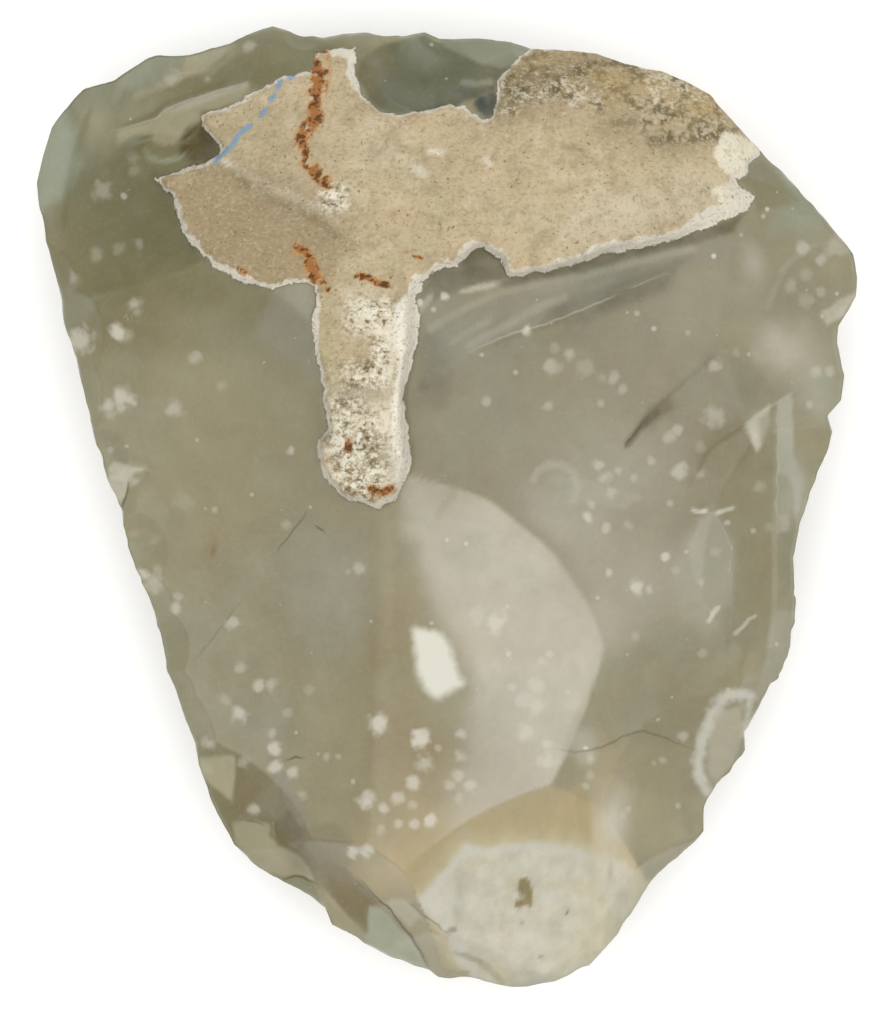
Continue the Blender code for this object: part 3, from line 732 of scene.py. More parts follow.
# panes seen in the stone with a clear edge: tone, strength, edge width, outline
panes = [
    ("ash", 0.55, 1.2, [(19.8, 5), (25.5, 4.2), (32.3, 1.8), (29.2, -0.2), (25.2, 0.5), (20.2, 1)]),
    ("shade", 0.32, 1.6, [(18.3, -46.3), (19.3, -39.5), (21.3, -34), (23.8, -29.3), (26.5, -25.7),
        (31.5, -23), (36.2, -21), (42.2, -17.8), (46.5, -15), (50.2, -22), (48.5, -30.3), (44.2, -33.3),
        (42.2, -39.5), (42.2, -47), (37.2, -48.7), (32.2, -47), (27.2, -44.5)]),
    ("shade", 0.55, 2.4, [(33.2, -38.7), (30.8, -32.7), (31.8, -27.3), (34.2, -23.7), (36.8, -21.7),
        (42.2, -18.3), (47.2, -15), (50.8, -22), (48.5, -30.3), (44.2, -33), (42.2, -37.8), (37.2, -40)]),
    ("mist", 0.9, 3.4, [(-68.8, 48.8), (-68.8, 58), (-66.5, 65.3), (-63.5, 66.3), (-61.8, 61.7),
        (-61.3, 57.5), (-62.5, 54.3), (-63.7, 51.7), (-66.5, 50.3)]),
    ("moss", 0.7, 1.9, [(-66.5, 49.7), (-63.5, 50.3), (-64.2, 41), (-62.8, 34.7), (-64.8, 34.7),
        (-67.2, 44.7)]),
    ("sage", 0.8, 1.1, [(-53.8, 72.3), (-50.3, 74.7), (-46.8, 76.2), (-43.3, 75.5), (-44.3, 72.7),
        (-47.8, 71), (-52.7, 69.7), (-54.2, 70.3)]),
    ("straw", 0.9, 1, [(-43.2, 75.3), (-39.8, 76.2), (-35.2, 77.7), (-37.5, 75), (-39.8, 73), (-43.2, 71.7),
        (-44.5, 72.3)]),
    ("moss", 0.85, 1.2, [(-55.5, 64.7), (-53.5, 68.3), (-46.8, 69.8), (-39.8, 72), (-35.2, 75.3),
        (-30.8, 76.3), (-22.5, 75.7), (-22.2, 72.3), (-26.2, 71.7), (-30.8, 69.7), (-33.2, 70.3),
        (-37.5, 69.3), (-42.7, 67.7), (-46.8, 66.3), (-48.5, 64.7), (-53.7, 63.2)]),
    ("olive", 0.5, 1.1, [(-39.2, 70.7), (-34.5, 73.7), (-26.2, 74.3), (-22.5, 73.7), (-24.5, 72),
        (-30.8, 69.7), (-35.2, 69)]),
    ("moss", 0.7, 1.3, [(-51.5, 60.3), (-44.2, 61.3), (-41.2, 63.7), (-36.8, 59.7), (-40.3, 57),
        (-47.8, 55.7), (-51.5, 57.3)]),
    ("bark", 0.95, 1, [(-43.5, 62.8), (-40.7, 63.2), (-38.8, 61.3), (-37.2, 59.5), (-38.5, 57.7),
        (-41.8, 57.3), (-44.5, 58.3), (-44.3, 60.7)]),
    ("straw", 0.92, 0.9, [(-55, 62.7), (-53.8, 63.2), (-48.5, 64.7), (-47, 66.2), (-45.3, 66.8),
        (-42.7, 67.8), (-37.5, 69.5), (-33.2, 70.5), (-32.5, 70), (-34.7, 67.8), (-37.8, 66.3), (-40.8, 66),
        (-40.8, 64.3), (-43, 63.5), (-44.2, 61.7), (-45.3, 60.5), (-47.3, 60.2), (-48.8, 61), (-49.2, 62.3),
        (-51.5, 62.2), (-53.5, 61.3), (-54.7, 60.7)]),
    ("pearl", 0.6, 0.9, [(-46.8, 66), (-42.7, 67.8), (-37.5, 69.5), (-33.2, 70.5), (-33.2, 69.8),
        (-37.5, 68.3), (-41.8, 66.7), (-45.2, 65.7)]),
    ("mist", 0.85, 0.9, [(-50.3, 59.8), (-49.5, 58.7), (-47.8, 58), (-45.8, 58.2), (-43.7, 58.7),
        (-42.2, 59.2), (-44.2, 57.8), (-46.5, 57.2), (-48.5, 57.3), (-49.8, 58)]),
    ("lilac", 0.5, 3.2, [(-28.3, 35.8), (-22.5, 36.5), (-21.7, 29.7), (-21, 20.5), (-26.2, 24.7),
        (-32.2, 28.3)]),
    ("sage", 0.6, 1.1, [(-65.3, 37.2), (-63.8, 36.3), (-58.5, 34.7), (-58.7, 32.8), (-60.5, 30.7),
        (-63.5, 30)]),
    ("bone", 0.9, 0.8, [(-56.5, 6.7), (-55.3, 7.8), (-53.5, 7), (-50.5, 6.5), (-52, 5.7), (-53, 4.3),
        (-53.5, 2.2), (-54.5, 0.5), (-56.2, 2.7)]),
    ("butter", 0.95, 0.8, [(-41.5, -41.7), (-38.2, -41.3), (-35.3, -41.2), (-35.2, -44), (-35.8, -49),
        (-38.2, -47), (-41, -45)]),
    ("peat", 0.8, 1.2, [(-34.8, -43.3), (-30.8, -44), (-26.2, -47.8), (-23.2, -52.7), (-23.8, -56.2),
        (-23.7, -58.3), (-24.8, -57.7), (-27.8, -56.2), (-29.3, -54.7), (-29.5, -52.7), (-31.5, -52),
        (-34, -52), (-35.7, -50), (-35, -47)]),
    ("bark", 0.5, 1.2, [(-29.2, -53), (-26.2, -50), (-23.7, -53), (-23.8, -57.3), (-26.8, -55.8)]),
    ("straw", 0.92, 0.8, [(-35.8, -52.7), (-34, -52), (-31.8, -52.3), (-29.5, -52.5), (-29.5, -54.5),
        (-27.8, -56.2), (-24.7, -57.8), (-22.5, -60.7), (-22.2, -62.2), (-25.3, -61.2), (-27.3, -61.5),
        (-30.8, -60.7), (-33.7, -57.7), (-35.3, -55.8)]),
    ("bronze", 0.6, 1.1, [(-22.8, -52.8), (-18.7, -52), (-15.5, -55), (-15.8, -59), (-17, -60),
        (-21.5, -58.7), (-23.5, -57)]),
    ("peat", 0.85, 0.9, [(-21.8, -58.8), (-19.5, -58.7), (-17, -59.8), (-13.8, -62.5), (-10.8, -65.8),
        (-12.8, -66.5), (-13.3, -70.5), (-16.8, -67.7), (-20.3, -63.5), (-22.8, -60.7)]),
    ("straw", 0.9, 0.8, [(-22.3, -62.8), (-19.8, -64.5), (-15.8, -68.7), (-13.2, -71.2), (-14.2, -72.7),
        (-18.7, -70.7), (-20.8, -66.7)]),
    ("sage", 0.7, 0.8, [(-27.8, -62.3), (-25.5, -61.7), (-23.7, -62), (-22.2, -62.7), (-21.5, -65),
        (-24.5, -64.2), (-27.2, -63.3)]),
    ("frost", 0.92, 0.8, [(-13, -66.3), (-10.7, -66.7), (-8.2, -69.3), (-6, -71.8), (-4.3, -74.7),
        (-3, -77.3), (-7, -76), (-11.2, -74), (-14, -72.3), (-13.2, -70.5)]),
    ("straw", 0.85, 0.9, [(-10.5, -66.2), (-9.2, -64.8), (-6.8, -64.7), (-3, -68.3), (0.2, -71.5),
        (1.5, -75), (3.5, -78), (-1.8, -78.7), (-2.8, -76.3), (-4.2, -73.7), (-6, -70.7), (-8.2, -68.3)]),
    ("bone", 0.5, 1.1, [(-10.2, -65.7), (-8.8, -64.7), (-6.5, -65), (-4.5, -67.8), (-6.2, -69.5),
        (-8.5, -67.7)]),
    ("bone", 0.9, 0.8, [(49.2, 13.8), (53.7, 17.2), (53.5, 14.3), (52.3, 10.5), (51.5, 9), (50.7, 10.7)]),
    ("bronze", 0.6, 1.3, [(49.5, 14), (43.3, 10.2), (39.5, 3.3), (39.8, -5.3), (43, 0), (48, 7.2),
        (50.8, 10)]),
    ("shade", 0.55, 1.3, [(47.7, 7.2), (54.8, 7.2), (54.8, -20.8), (49.7, -23.3), (47.3, -15.3),
        (47.5, -6.7), (44.8, -0.8), (45.8, 4.7)]),
    ("shade", 0.5, 1, [(51.8, 14.7), (54.8, 17), (54.8, 6.3), (50.2, 6.3), (52.2, 10.3)]),
    ("pearl", 0.9, 0.8, [(55, 17.5), (57.3, 19.3), (57.7, 9.2), (59, 5), (59, 0.7), (58.2, -2.2),
        (57.7, 2.7), (56.8, 5), (55, 6)]),
    ("ash", 0.6, 0.8, [(55, 6), (56.8, 5.3), (57.5, 1.3), (56.8, -4), (55.2, -4)]),
    ("pearl", 0.4, 0.9, [(55.2, -1), (57, -1.3), (57, -3.7), (55.2, -4)]),
    ("ash", 0.5, 3.4, [(40.2, -3.7), (44, -0.3), (47.7, -6.3), (47.3, -16.7), (43.5, -22), (38.2, -17),
        (37.5, -8.7)]),
    ("ash", 0.7, 1, [(42.2, -2), (44, -0.7), (45.2, -2.5), (47.3, -6.3), (47.3, -16.2), (44.2, -16.3),
        (40.8, -11.7), (39.8, -6.2)]),
    ("ash", 0.7, 1.2, [(54.8, -17), (57.8, -17.3), (57.7, -22), (56.8, -26.7), (53.5, -30.3), (51.3, -32),
        (53.2, -23.7)]),
    ("blushAndSheen", 0.6, 1, [(44.5, -34), (48.8, -33), (49.3, -37.5), (48.2, -42), (44.8, -45.8), (43.7, -44.5),
        (43.7, -38.7)]),
    ("bone", 0.85, 0.8, [(62.2, 32.5), (68.2, 36.3), (68.5, 34.8), (66, 31.8), (63.5, 30.7)]),
    ("moss", 0.55, 1.1, [(50.2, 57.2), (52.5, 58), (58.8, 51), (51.7, 49.2), (50.5, 53), (48.5, 54.2)]),
    ("mist", 0.6, 0.9, [(52.2, 59.7), (52.8, 59.8), (58.8, 53.7), (60.8, 50.7), (59.5, 50.7), (57.2, 53)]),
    ("slate", 0.9, 0.9, [(-15, 72), (-13.8, 74.7), (-10.3, 77.3), (-3.7, 78), (-0.3, 76.8), (3.8, 74.3),
        (8.8, 73), (10.8, 73.5), (8.3, 70.8), (8, 68), (6.2, 68.5), (3.2, 67.3), (0.2, 66.5), (-5.7, 65.2),
        (-10, 65.2), (-12.8, 67.3)]),
    ("sage", 0.9, 0.8, [(-1.2, 78.7), (9.8, 78.7), (14.5, 76.3), (10.8, 73.5), (8.8, 73), (3.8, 74.5),
        (-0.2, 76.8)]),
    ("moss", 0.5, 1.1, [(-15, 72), (-13.8, 75), (-10.3, 77.3), (-8.7, 74.7), (-10.5, 70.7), (-12.5, 68.3)]),
    ("pitBlue", 0.92, 0.8, [(5.5, 68.2), (7.2, 68.8), (8.3, 68.5), (8.3, 67), (7.8, 65.2), (6.5, 64.5),
        (5.2, 65.7), (4.5, 67)]),
    # painted shadow: dark bands just under the cortex's raised edge, beside the stem and under its right
    # lobe
    ("rindShadow", 0.85, 1, [(7.8, 36.8), (10, 37.5), (20.3, 39.7), (27.5, 41.8), (36.2, 43.7), (41.8, 45.7),
        (49.5, 49), (47.5, 45.7), (40.5, 43.5), (32.2, 41.2), (22.8, 38.8), (16, 37.5), (10.8, 36.2)]),
    ("rindShadow", 0.8, 1.1, [(-4.8, 34.3), (-3.5, 37), (-2.2, 38.7), (-0.5, 39.7), (2.3, 39.2), (2.5, 40.7),
        (3.8, 42.3), (5.7, 43), (7.3, 42.3), (8.8, 41), (9.7, 39), (9.7, 37.8), (3.8, 36.5), (-1.2, 34.7),
        (-3.8, 32.7)]),
    ("grey", 0.75, 1.3, [(-3.8, 27), (0.7, 30.8), (7.5, 34.2), (16, 36.7), (25.5, 38.3), (36.3, 41.3),
        (45.5, 45), (48, 42.7), (36, 38.3), (27.5, 34.8), (16, 30.2), (3.8, 25.3), (-2.5, 21.3)]),
    # painted shade in the ripple hollows just under the cortex's right lobe
    ("cortexEdgeShade", 0.8, 2.4, [(17.7, 33.8), (23.8, 36), (32.2, 39.3), (40.5, 41.7), (36, 38.7), (27.5, 35),
        (21.3, 32.3), (15.5, 30.3)]),
    ("cortexEdgeShade", 0.85, 2.4, [(19.8, 30.3), (24.8, 33.3), (27.5, 34.7), (32.2, 36.7), (37.5, 39.3),
        (36.5, 36.3), (32.2, 34.3), (27.5, 32.7), (23, 30.7)]),
]

# soft lines in the stone: tone, strength, half width, points
strokes = [
    ("bark", 0.4, 2.2, [(-25.2, -55.7), (-23.8, -58.3)]),
    ("blushAndSheen", 0.45, 1.5, [(22.3, -38.3), (23.2, -40.7)]),
    # painted shade under the cortex's right lobe and beside the stem
    ("cortexEdgeShade", 0.5, 1.1, [(20.5, 37.5), (25.5, 38.7), (30.8, 40.2)]),
    ("cortexEdgeShade", 0.45, 2.4, [(-2.2, 26.3), (-2, 22.7), (-2.7, 18.8)]),
    ("shade", 0.6, 2.4, [(-3.2, 13.8), (-3.2, 7.7)]),
    ("umber", 0.6, 0.9, [(-40.3, 61.7), (-39, 59.7), (-39.8, 58.3)]),
    # painted highlights on the crests of the ripple steps under the cortex's right lobe
    ("ash", 0.5, 0.6, [(-2.7, 29.5), (0.7, 31.5), (4, 33.2), (7.5, 34.8), (12.5, 36.5), (16, 37.2),
        (22.8, 38.3), (29.5, 40.2), (36.3, 42), (40.5, 43)]),
    ("ash", 0.3, 0.9, [(14.8, 36.2), (18.2, 36.8), (21.5, 37.3)]),
    ("ash", 0.5, 0.6, [(3.7, 26.8), (5.8, 28.2), (9.2, 29.8), (12.5, 31.8), (16, 33.5), (19.3, 34.8)]),
    ("ash", 0.35, 0.5, [(0.8, 27.3), (3.8, 29.2), (7.2, 31)]),
    ("straw", 0.5, 0.6, [(-51.5, 68.7), (-48, 70.2), (-44.5, 71.2)]),
    ("straw", 0.3, 0.6, [(-53.8, 72.3), (-54.3, 70.7), (-55.2, 68)]),
    # painted highlight along the small step at the upper right
    ("ash", 0.5, 0.5, [(59, 42.5), (57.2, 41.2), (55.8, 39.5), (54.5, 36.3), (53.3, 33.5)]),
    ("bronze", 0.5, 0.6, [(45.8, 26.8), (42.2, 23.8), (39, 21), (36.2, 18.5), (33.5, 16.2)]),
    ("bark", 0.75, 0.55, [(29.8, 10.5), (31.5, 12.8), (33.2, 14.5), (34.7, 15.8)]),
    ("bark", 0.4, 0.9, [(33.2, 14.5), (34.8, 16), (36.2, 16.8)]),
    ("umber", 0.25, 1.3, [(33, 14), (34.8, 15.8), (36.5, 16.8)]),
    ("straw", 0.4, 0.5, [(-53.2, -4.7), (-51.7, -4), (-50.2, -3.8), (-48.2, -4.8)]),
    ("lilac", 0.5, 0.9, [(-28.7, -42.8), (-25.8, -48.2), (-23.5, -52)]),
    ("amber", 0.55, 0.9, [(22.2, -46.7), (22.7, -50.7), (23.2, -55.7)]),
    ("pearl", 0.45, 0.55, [(14.2, 4.7), (15, 6.3), (16.8, 7.2), (19.2, 7), (21, 5.7), (21.7, 3.5),
        (21, 1.3)]),
    ("mist", 0.5, 0.9, [(18.2, 4.7), (19.3, 4.3)]),
    ("bone", 0.6, 0.35, [(2.5, 35.8), (5.2, 36.2), (8.2, 37)]),
    ("bone", 0.6, 0.5, [(5, 36.3), (7.2, 36.8)]),
    ("bone", 0.5, 0.5, [(-4.3, 33), (-2.8, 34.7)]),
    ("frost", 0.45, 0.5, [(2.7, 70.7), (4.8, 70.3), (7.2, 70.7)]),
    ("pitBlue", 0.35, 0.7, [(2.2, 69), (4.2, 68.7), (5.8, 68.3)]),
    ("tan", 0.3, 0.6, [(-1.5, -1.3), (-0.2, 0.7), (1, 2.3)]),
    ("umber", 0.35, 0.5, [(-4.2, 20), (-3.5, 19.7)]),
    ("mist", 0.4, 1.2, [(53.8, 46.3), (57.2, 48.8), (59.7, 50)]),
    # painted glints: four tiny bright strokes on the right face
    ("ivory", 0.85, 0.32, [(40.7, -0.3), (41.7, -0.7), (42.7, -0.5)]),
    ("ivory", 0.75, 0.32, [(44.8, -0.8), (45.8, -0.5), (47.3, 0)]),
    ("ivory", 0.8, 0.32, [(43.5, -18.7), (44.2, -17.5), (45, -16.5)]),
    ("ivory", 0.6, 0.3, [(48, -20.8), (49.3, -19.7), (50.2, -18.5), (51.2, -18)]),
]

# soft white flecks, with a few painted glints among them: middle, radius, strength
flecksAndGlints = [
    ((8.2, -18.8), 1.7, 0.75), ((5, -17.8), 1.3, 0.3), ((-11.5, -35.7), 1.5, 0.85),
    ((-4.5, -38.2), 1.5, 0.9), ((-3.8, -42.2), 1.4, 0.5), ((-5.7, -45.5), 1.1, 0.7),
    ((-1.5, -39.7), 0.6, 0.35), ((14.7, -29.2), 1.4, 0.45), ((13, -31.7), 1.4, 0.4),
    ((14.7, -32.8), 1.3, 0.5), ((10.8, -29.7), 0.8, 0.4), ((17, -24.3), 0.7, 0.4),
    ((15.7, -25.2), 0.7, 0.35), ((12.7, -37.3), 1.3, 0.5), ((16.5, -39.2), 0.8, 0.5),
    ((16.7, -41.7), 1.4, 0.55), ((2.3, -37.5), 0.8, 0.5), ((2.2, -41.2), 0.9, 0.5),
    ((1.7, -44.2), 0.9, 0.45), ((0.5, -46), 0.8, 0.4), ((4, -46), 1, 0.55), ((1.7, -48.2), 1, 0.35),
    ((-2.7, -51.7), 1, 0.8), ((-5.5, -52.3), 0.8, 0.6), ((-8, -52), 0.8, 0.5), ((-8.3, -48), 1.1, 0.55),
    ((-10.5, -49.8), 0.9, 0.6), ((-5.5, -49), 0.8, 0.35), ((-10.8, -53.3), 0.8, 0.3),
    ((-13.3, -48.5), 1.25, 0.95), ((-15.7, -57), 1, 0.85), ((-13.5, -56.7), 1.15, 0.85),
    ((-28.7, -40), 1.1, 0.75), ((-28.5, -43), 1.1, 0.75), ((-25.5, -44), 0.9, 0.6),
    ((-32.2, -50.3), 0.9, 0.6), ((-33.7, -42.3), 0.9, 0.35), ((-39.8, -39.3), 1.1, 0.55),
    ((-29.2, -37.7), 0.8, 0.4), ((-20, -41.2), 0.6, 0.4), ((-18, -41.2), 0.6, 0.4),
    ((-21.3, -40.8), 0.4, 0.35), ((-24.2, -47.5), 0.8, 0.35), ((-15.5, -45.3), 0.4, 0.5),
    ((17.3, 23.5), 1.2, 0.4), ((20.3, 25.3), 0.8, 0.4), ((17.7, 26.3), 0.9, 0.2), ((27.5, 21.5), 1, 0.35),
    ((29.2, 19.7), 0.8, 0.3), ((25.8, 21.5), 1, 0.2), ((16.7, 16.8), 0.9, 0.35), ((25.5, 17.2), 0.6, 0.3),
    ((11.3, 22.3), 0.45, 0.4), ((5.7, 25.3), 0.35, 0.5), ((31.5, 32.2), 0.45, 0.4),
    ((34.2, 29.7), 0.4, 0.6), ((40, 29), 0.5, 0.3), ((6.5, 17.7), 0.8, 0.35), ((22.8, 23.2), 1.3, 0.2),
    ((13.2, 29.5), 0.8, 0.85), ((44.5, 23.7), 0.9, 0.4), ((47.8, 25.8), 0.7, 0.2),
    ((44.3, 15), 1.7, 0.36), ((36.8, 11.8), 0.9, 0.35), ((38.5, 6.2), 1.3, 0.5), ((33.8, 7.8), 0.7, 0.35),
    ((42, 5.5), 0.9, 0.3), ((42, 10.2), 0.8, 0.2), ((37, 0.8), 0.6, 0.35), ((36.2, -8.2), 0.7, 0.75),
    ((33.5, -13.5), 0.7, 0.4), ((31.3, -13), 1.15, 0.7), ((37.8, -10.5), 0.7, 0.25),
    ((44.8, -7.2), 0.9, 0.25), ((42.2, -12.5), 0.6, 0.3), ((39.7, -7.2), 0.35, 0.4),
    ((51, -3.8), 0.5, 0.45), ((39.3, -38), 0.8, 0.45), ((42.5, -24), 0.8, 0.25), ((35.8, -42), 0.6, 0.35),
    ((34.5, -42.5), 0.5, 0.3), ((38.5, -49.7), 0.4, 0.4), ((52, 3.5), 0.9, 0.3), ((53.5, -3), 0.7, 0.2),
    ((38.2, 13), 0.8, 0.4), ((23.2, -1.5), 0.8, 0.7), ((26.3, -3.3), 0.7, 0.45),
    ((26.8, -10.7), 0.6, 0.5), ((30, -3), 0.7, 0.3), ((24, 0.5), 0.7, 0.35), ((31, -21.2), 0.7, 0.25),
    ((27.3, 2.5), 0.8, 0.35), ((25.2, 7), 0.9, 0.45), ((26.3, 5.3), 1.1, 0.45), ((28.2, 6.2), 0.7, 0.35),
    ((30.8, 5), 0.7, 0.3), ((23.8, -41.5), 0.8, 0.45), ((23.8, -44.5), 0.8, 0.35),
    ((23, -46.2), 0.6, 0.35), ((30.2, -50), 0.5, 0.35), ((29.2, -51), 0.6, 0.3),
    ((-54.7, 29.2), 1.35, 0.85), ((-53.2, 28.5), 1, 0.35), ((-61.3, 28), 2, 0.7),
    ((-51.8, 33.8), 1, 0.55), ((-51.5, 32.7), 0.8, 0.3), ((-41.5, 25), 1, 0.4),
    ((-37.2, 20.3), 0.9, 0.25), ((-53.8, 18.5), 1.5, 0.75), ((-54, 16.8), 1, 0.5),
    ((-56.5, 17.2), 1.2, 0.6), ((-56.2, 15.5), 1, 0.3), ((-45.2, 16.3), 1.3, 0.45),
    ((-32.3, 2.2), 0.4, 0.6), ((-41.5, 11.3), 0.35, 0.5), ((-43.8, 1), 1.5, 0.15), ((-52, 4.3), 0.8, 0.4),
    ((-50.3, -11.3), 1, 0.8), ((-49, -12.5), 1.5, 0.5), ((-48.2, -10.3), 0.8, 0.3),
    ((-35.7, -19), 1.1, 0.5), ((-45.3, -16.5), 0.9, 0.5), ((-44.8, -14.7), 0.7, 0.3),
    ((-38.7, -0.2), 0.5, 0.4), ((-53.3, 10.3), 0.35, 0.5), ((-56, 9.8), 0.5, 0.3),
    ((-31.5, -29.5), 1, 0.6), ((-29.2, -29.5), 1, 0.4), ((-34.3, -26.5), 0.9, 0.35),
    ((-34.5, -34.3), 1.2, 0.65), ((-26.5, -34.2), 0.8, 0.25), ((-14.5, -10), 0.9, 0.45),
    ((-16.3, -10.5), 0.6, 0.3), ((-25.8, 9.5), 0.6, 0.6), ((-26.7, -2.8), 0.8, 0.35),
    ((-37, -32), 1, 0.25), ((-22.8, -30.3), 0.8, 0.2), ((-58.2, 42.2), 1.1, 0.25), ((-52, 58), 1.2, 0.2),
    ((-52, 56), 0.9, 0.2), ((-57.5, 53), 1.6, 0.3), ((-53.7, 51.8), 0.5, 0.5), ((-54.5, 43), 1, 0.2),
    ((-62, 38.3), 1, 0.3), ((-51.2, 43.8), 0.8, 0.3), ((-45.7, 71.7), 1.3, 0.3),
    ((-39.7, 71.3), 0.6, 0.4), ((-32.8, 76.7), 0.9, 0.4), ((59.3, 43.2), 1.1, 0.45),
    ((62.3, 41.5), 0.9, 0.45), ((64.8, 43.7), 1.9, 0.35), ((62.2, 36), 0.8, 0.3), ((57.3, 37), 1, 0.25),
    ((59.8, 34.7), 1.2, 0.25), ((59.7, 39.2), 1.1, 0.2), ((61.5, 22.7), 0.9, 0.4),
    # painted glints: the tiny dots at (23, -39.8), (3.2, -6), (0, -5.3), (10, -16.2) and (10.2, -24.2)
    ((63.8, 22.7), 0.8, 0.4), ((60.2, 17.2), 0.6, 0.35), ((51.3, 11.2), 0.8, 0.4), ((23, -39.8), 0.4, 1),
    ((46.5, -2.5), 0.5, 0.6), ((3.2, -6), 0.4, 1), ((0, -5.3), 0.35, 0.8), ((10, -16.2), 0.35, 0.8),
    ((10.2, -24.2), 0.35, 0.8), ((46.8, -30.3), 0.4, 0.5), ((-1.7, -22.8), 0.2, 0.2),
    ((53.2, 49.7), 0.4, 0.9), ((52.5, 48.5), 0.4, 0.6), ((44.2, 41.7), 0.35, 0.9),
    ((48.8, 45.3), 0.35, 0.5), ((-4.5, 33.8), 0.5, 0.8), ((-0.5, 34.7), 0.7, 0.8),
    ((-2.2, 32.7), 0.5, 0.6),
]

# fine dark cracks, and thin painted highlights along step edges, drawn by the material from their own
# distance:
# strength, points
cracks = [
    (0.45, [(19, -40), (21.3, -40.5), (25.3, -39.8), (27.5, -38.8), (29.5, -37.8), (32.3, -37), (35.8, -38),
        (40.5, -40)]),
    (0.85, [(-14.2, -62), (-11.7, -64.7), (-9.3, -66.8), (-8.2, -68.7), (-6, -71.2), (-4.3, -74),
        (-3, -76.8)]),
    (0.8, [(-27.3, -62), (-25.3, -61.3), (-23.8, -61.7), (-22.2, -62.5)]),
    (1, [(29.7, 10.3), (31.3, 12.7), (32.5, 14)]),
    (0.5, [(-28.2, -7.2), (-25.8, -4.3), (-23.3, -0.7)]),
    (0.3, [(-41.8, -25.3), (-39.7, -22.7), (-36.5, -18.3), (-34.5, -15.8)]),
    (0.45, [(-6.7, -65), (-3, -68.2), (0.2, -70.7)]),
    (0.8, [(-26.2, -41.7), (-25, -41.3), (-24.2, -41.5)]),
    (0.4, [(-34, -52), (-31.8, -52.3), (-30.8, -52.8)]),
    (0.7, [(-53, 4.3), (-53.5, 2.2), (-54.2, -0.2)]),
    (0.7, [(27.5, 35), (29.5, 36), (30.8, 36.5)]),
    (0.7, [(-21.5, -3.2), (-20.7, -3.7)]),
]
# thin painted highlights along step edges
highlightLines = [
    (0.6, [(3.7, 25.7), (6.5, 27), (9.8, 28.5), (13.2, 29.5), (16, 30.3), (21.3, 32.3), (27.5, 35),
        (31.3, 36.8), (36, 38.7)]),
    (0.4, [(55, 17.3), (55, 11.3), (55, 5.5), (55, -3.7)]),
    (0.4, [(49.2, 14), (52.2, 15.8), (55, 17.7), (57.2, 19)]),
    (0.6, [(-54.8, 62.8), (-48.5, 64.7), (-46.8, 66.3), (-42.7, 67.8), (-37.5, 69.5), (-33.2, 70.5)]),
    (0.3, [(41.5, -1.8), (44, -0.7), (45.3, -2.5), (47.3, -6.3), (47.3, -13.7)]),
]
crackWidth = 0.2
highlightWidth = 0.17

inclusionLine = [
    (-6.3, -20.2), (-5.3, -19.3), (-3.7, -19.5), (-1.8, -19.8), (-0.5, -20.5), (0.5, -21.7), (1.3, -23.3),
    (1.7, -24.8), (2.5, -27.5), (3.5, -29), (2.8, -30), (0.8, -30.8), (-0.7, -32.2), (-2.3, -32),
    (-4.3, -30), (-5.5, -27.2), (-5.8, -24.3),
]
ringLine = [
    (50.5, -31.5), (48.5, -31), (46.2, -31.3), (44.2, -34), (42.7, -38.3), (41.8, -42.3), (42.3, -45.3),
    (43.5, -47.3),
]
ringTail = [(50.2, -31.7), (50.2, -34), (49.7, -37.3)]
# rust lines: half width, points
rustLines = [
    (1.5, [(-21, 75.2), (-21, 72.2), (-21.5, 69.3)]),
    (1, [(-21.5, 69.3), (-21.8, 67.2), (-22, 65.5)]),
    (1.4, [(-21.8, 65), (-22.8, 63), (-24, 61), (-24, 59.3)]),
    (1.05, [(-24, 59.3), (-23.2, 57.2), (-21.7, 55.3), (-19.8, 53.5)]),
    (1.05, [(-24.3, 43), (-23.5, 41.7), (-22.5, 40.2), (-21.8, 38.2)]),
    (0.9, [(-21.7, 37.7), (-20.8, 36.7), (-19.3, 36.3)]),
    (0.55, [(-14.8, 38.3), (-12.8, 37.8), (-11.8, 37.2), (-9.8, 36.7)]),
    (0.5, [(-34.3, 39.3), (-33.2, 38.8)]),
    (0.5, [(-16.3, 10.8), (-16.2, 9.7)]),
    (0.65, [(-12.5, 3.2), (-11, 2.5), (-9.5, 3)]),
    (0.3, [(-6.5, 41.8), (-3.8, 40.8)]),
]
blueDabs = [
    [(-27.7, 70.7), (-28, 69.7)], [(-28.7, 68.3), (-29.3, 67.5)], [(-30, 65.8), (-30.8, 65)],
    [(-32.5, 63.3), (-34, 62.2)], [(-34.8, 61.3), (-35.3, 60.2)], [(-36, 59.5), (-37, 58.8)],
    [(-37.8, 58.3), (-38.3, 57.3)], [(-26.2, 71.3), (-25.7, 71.7)],
]

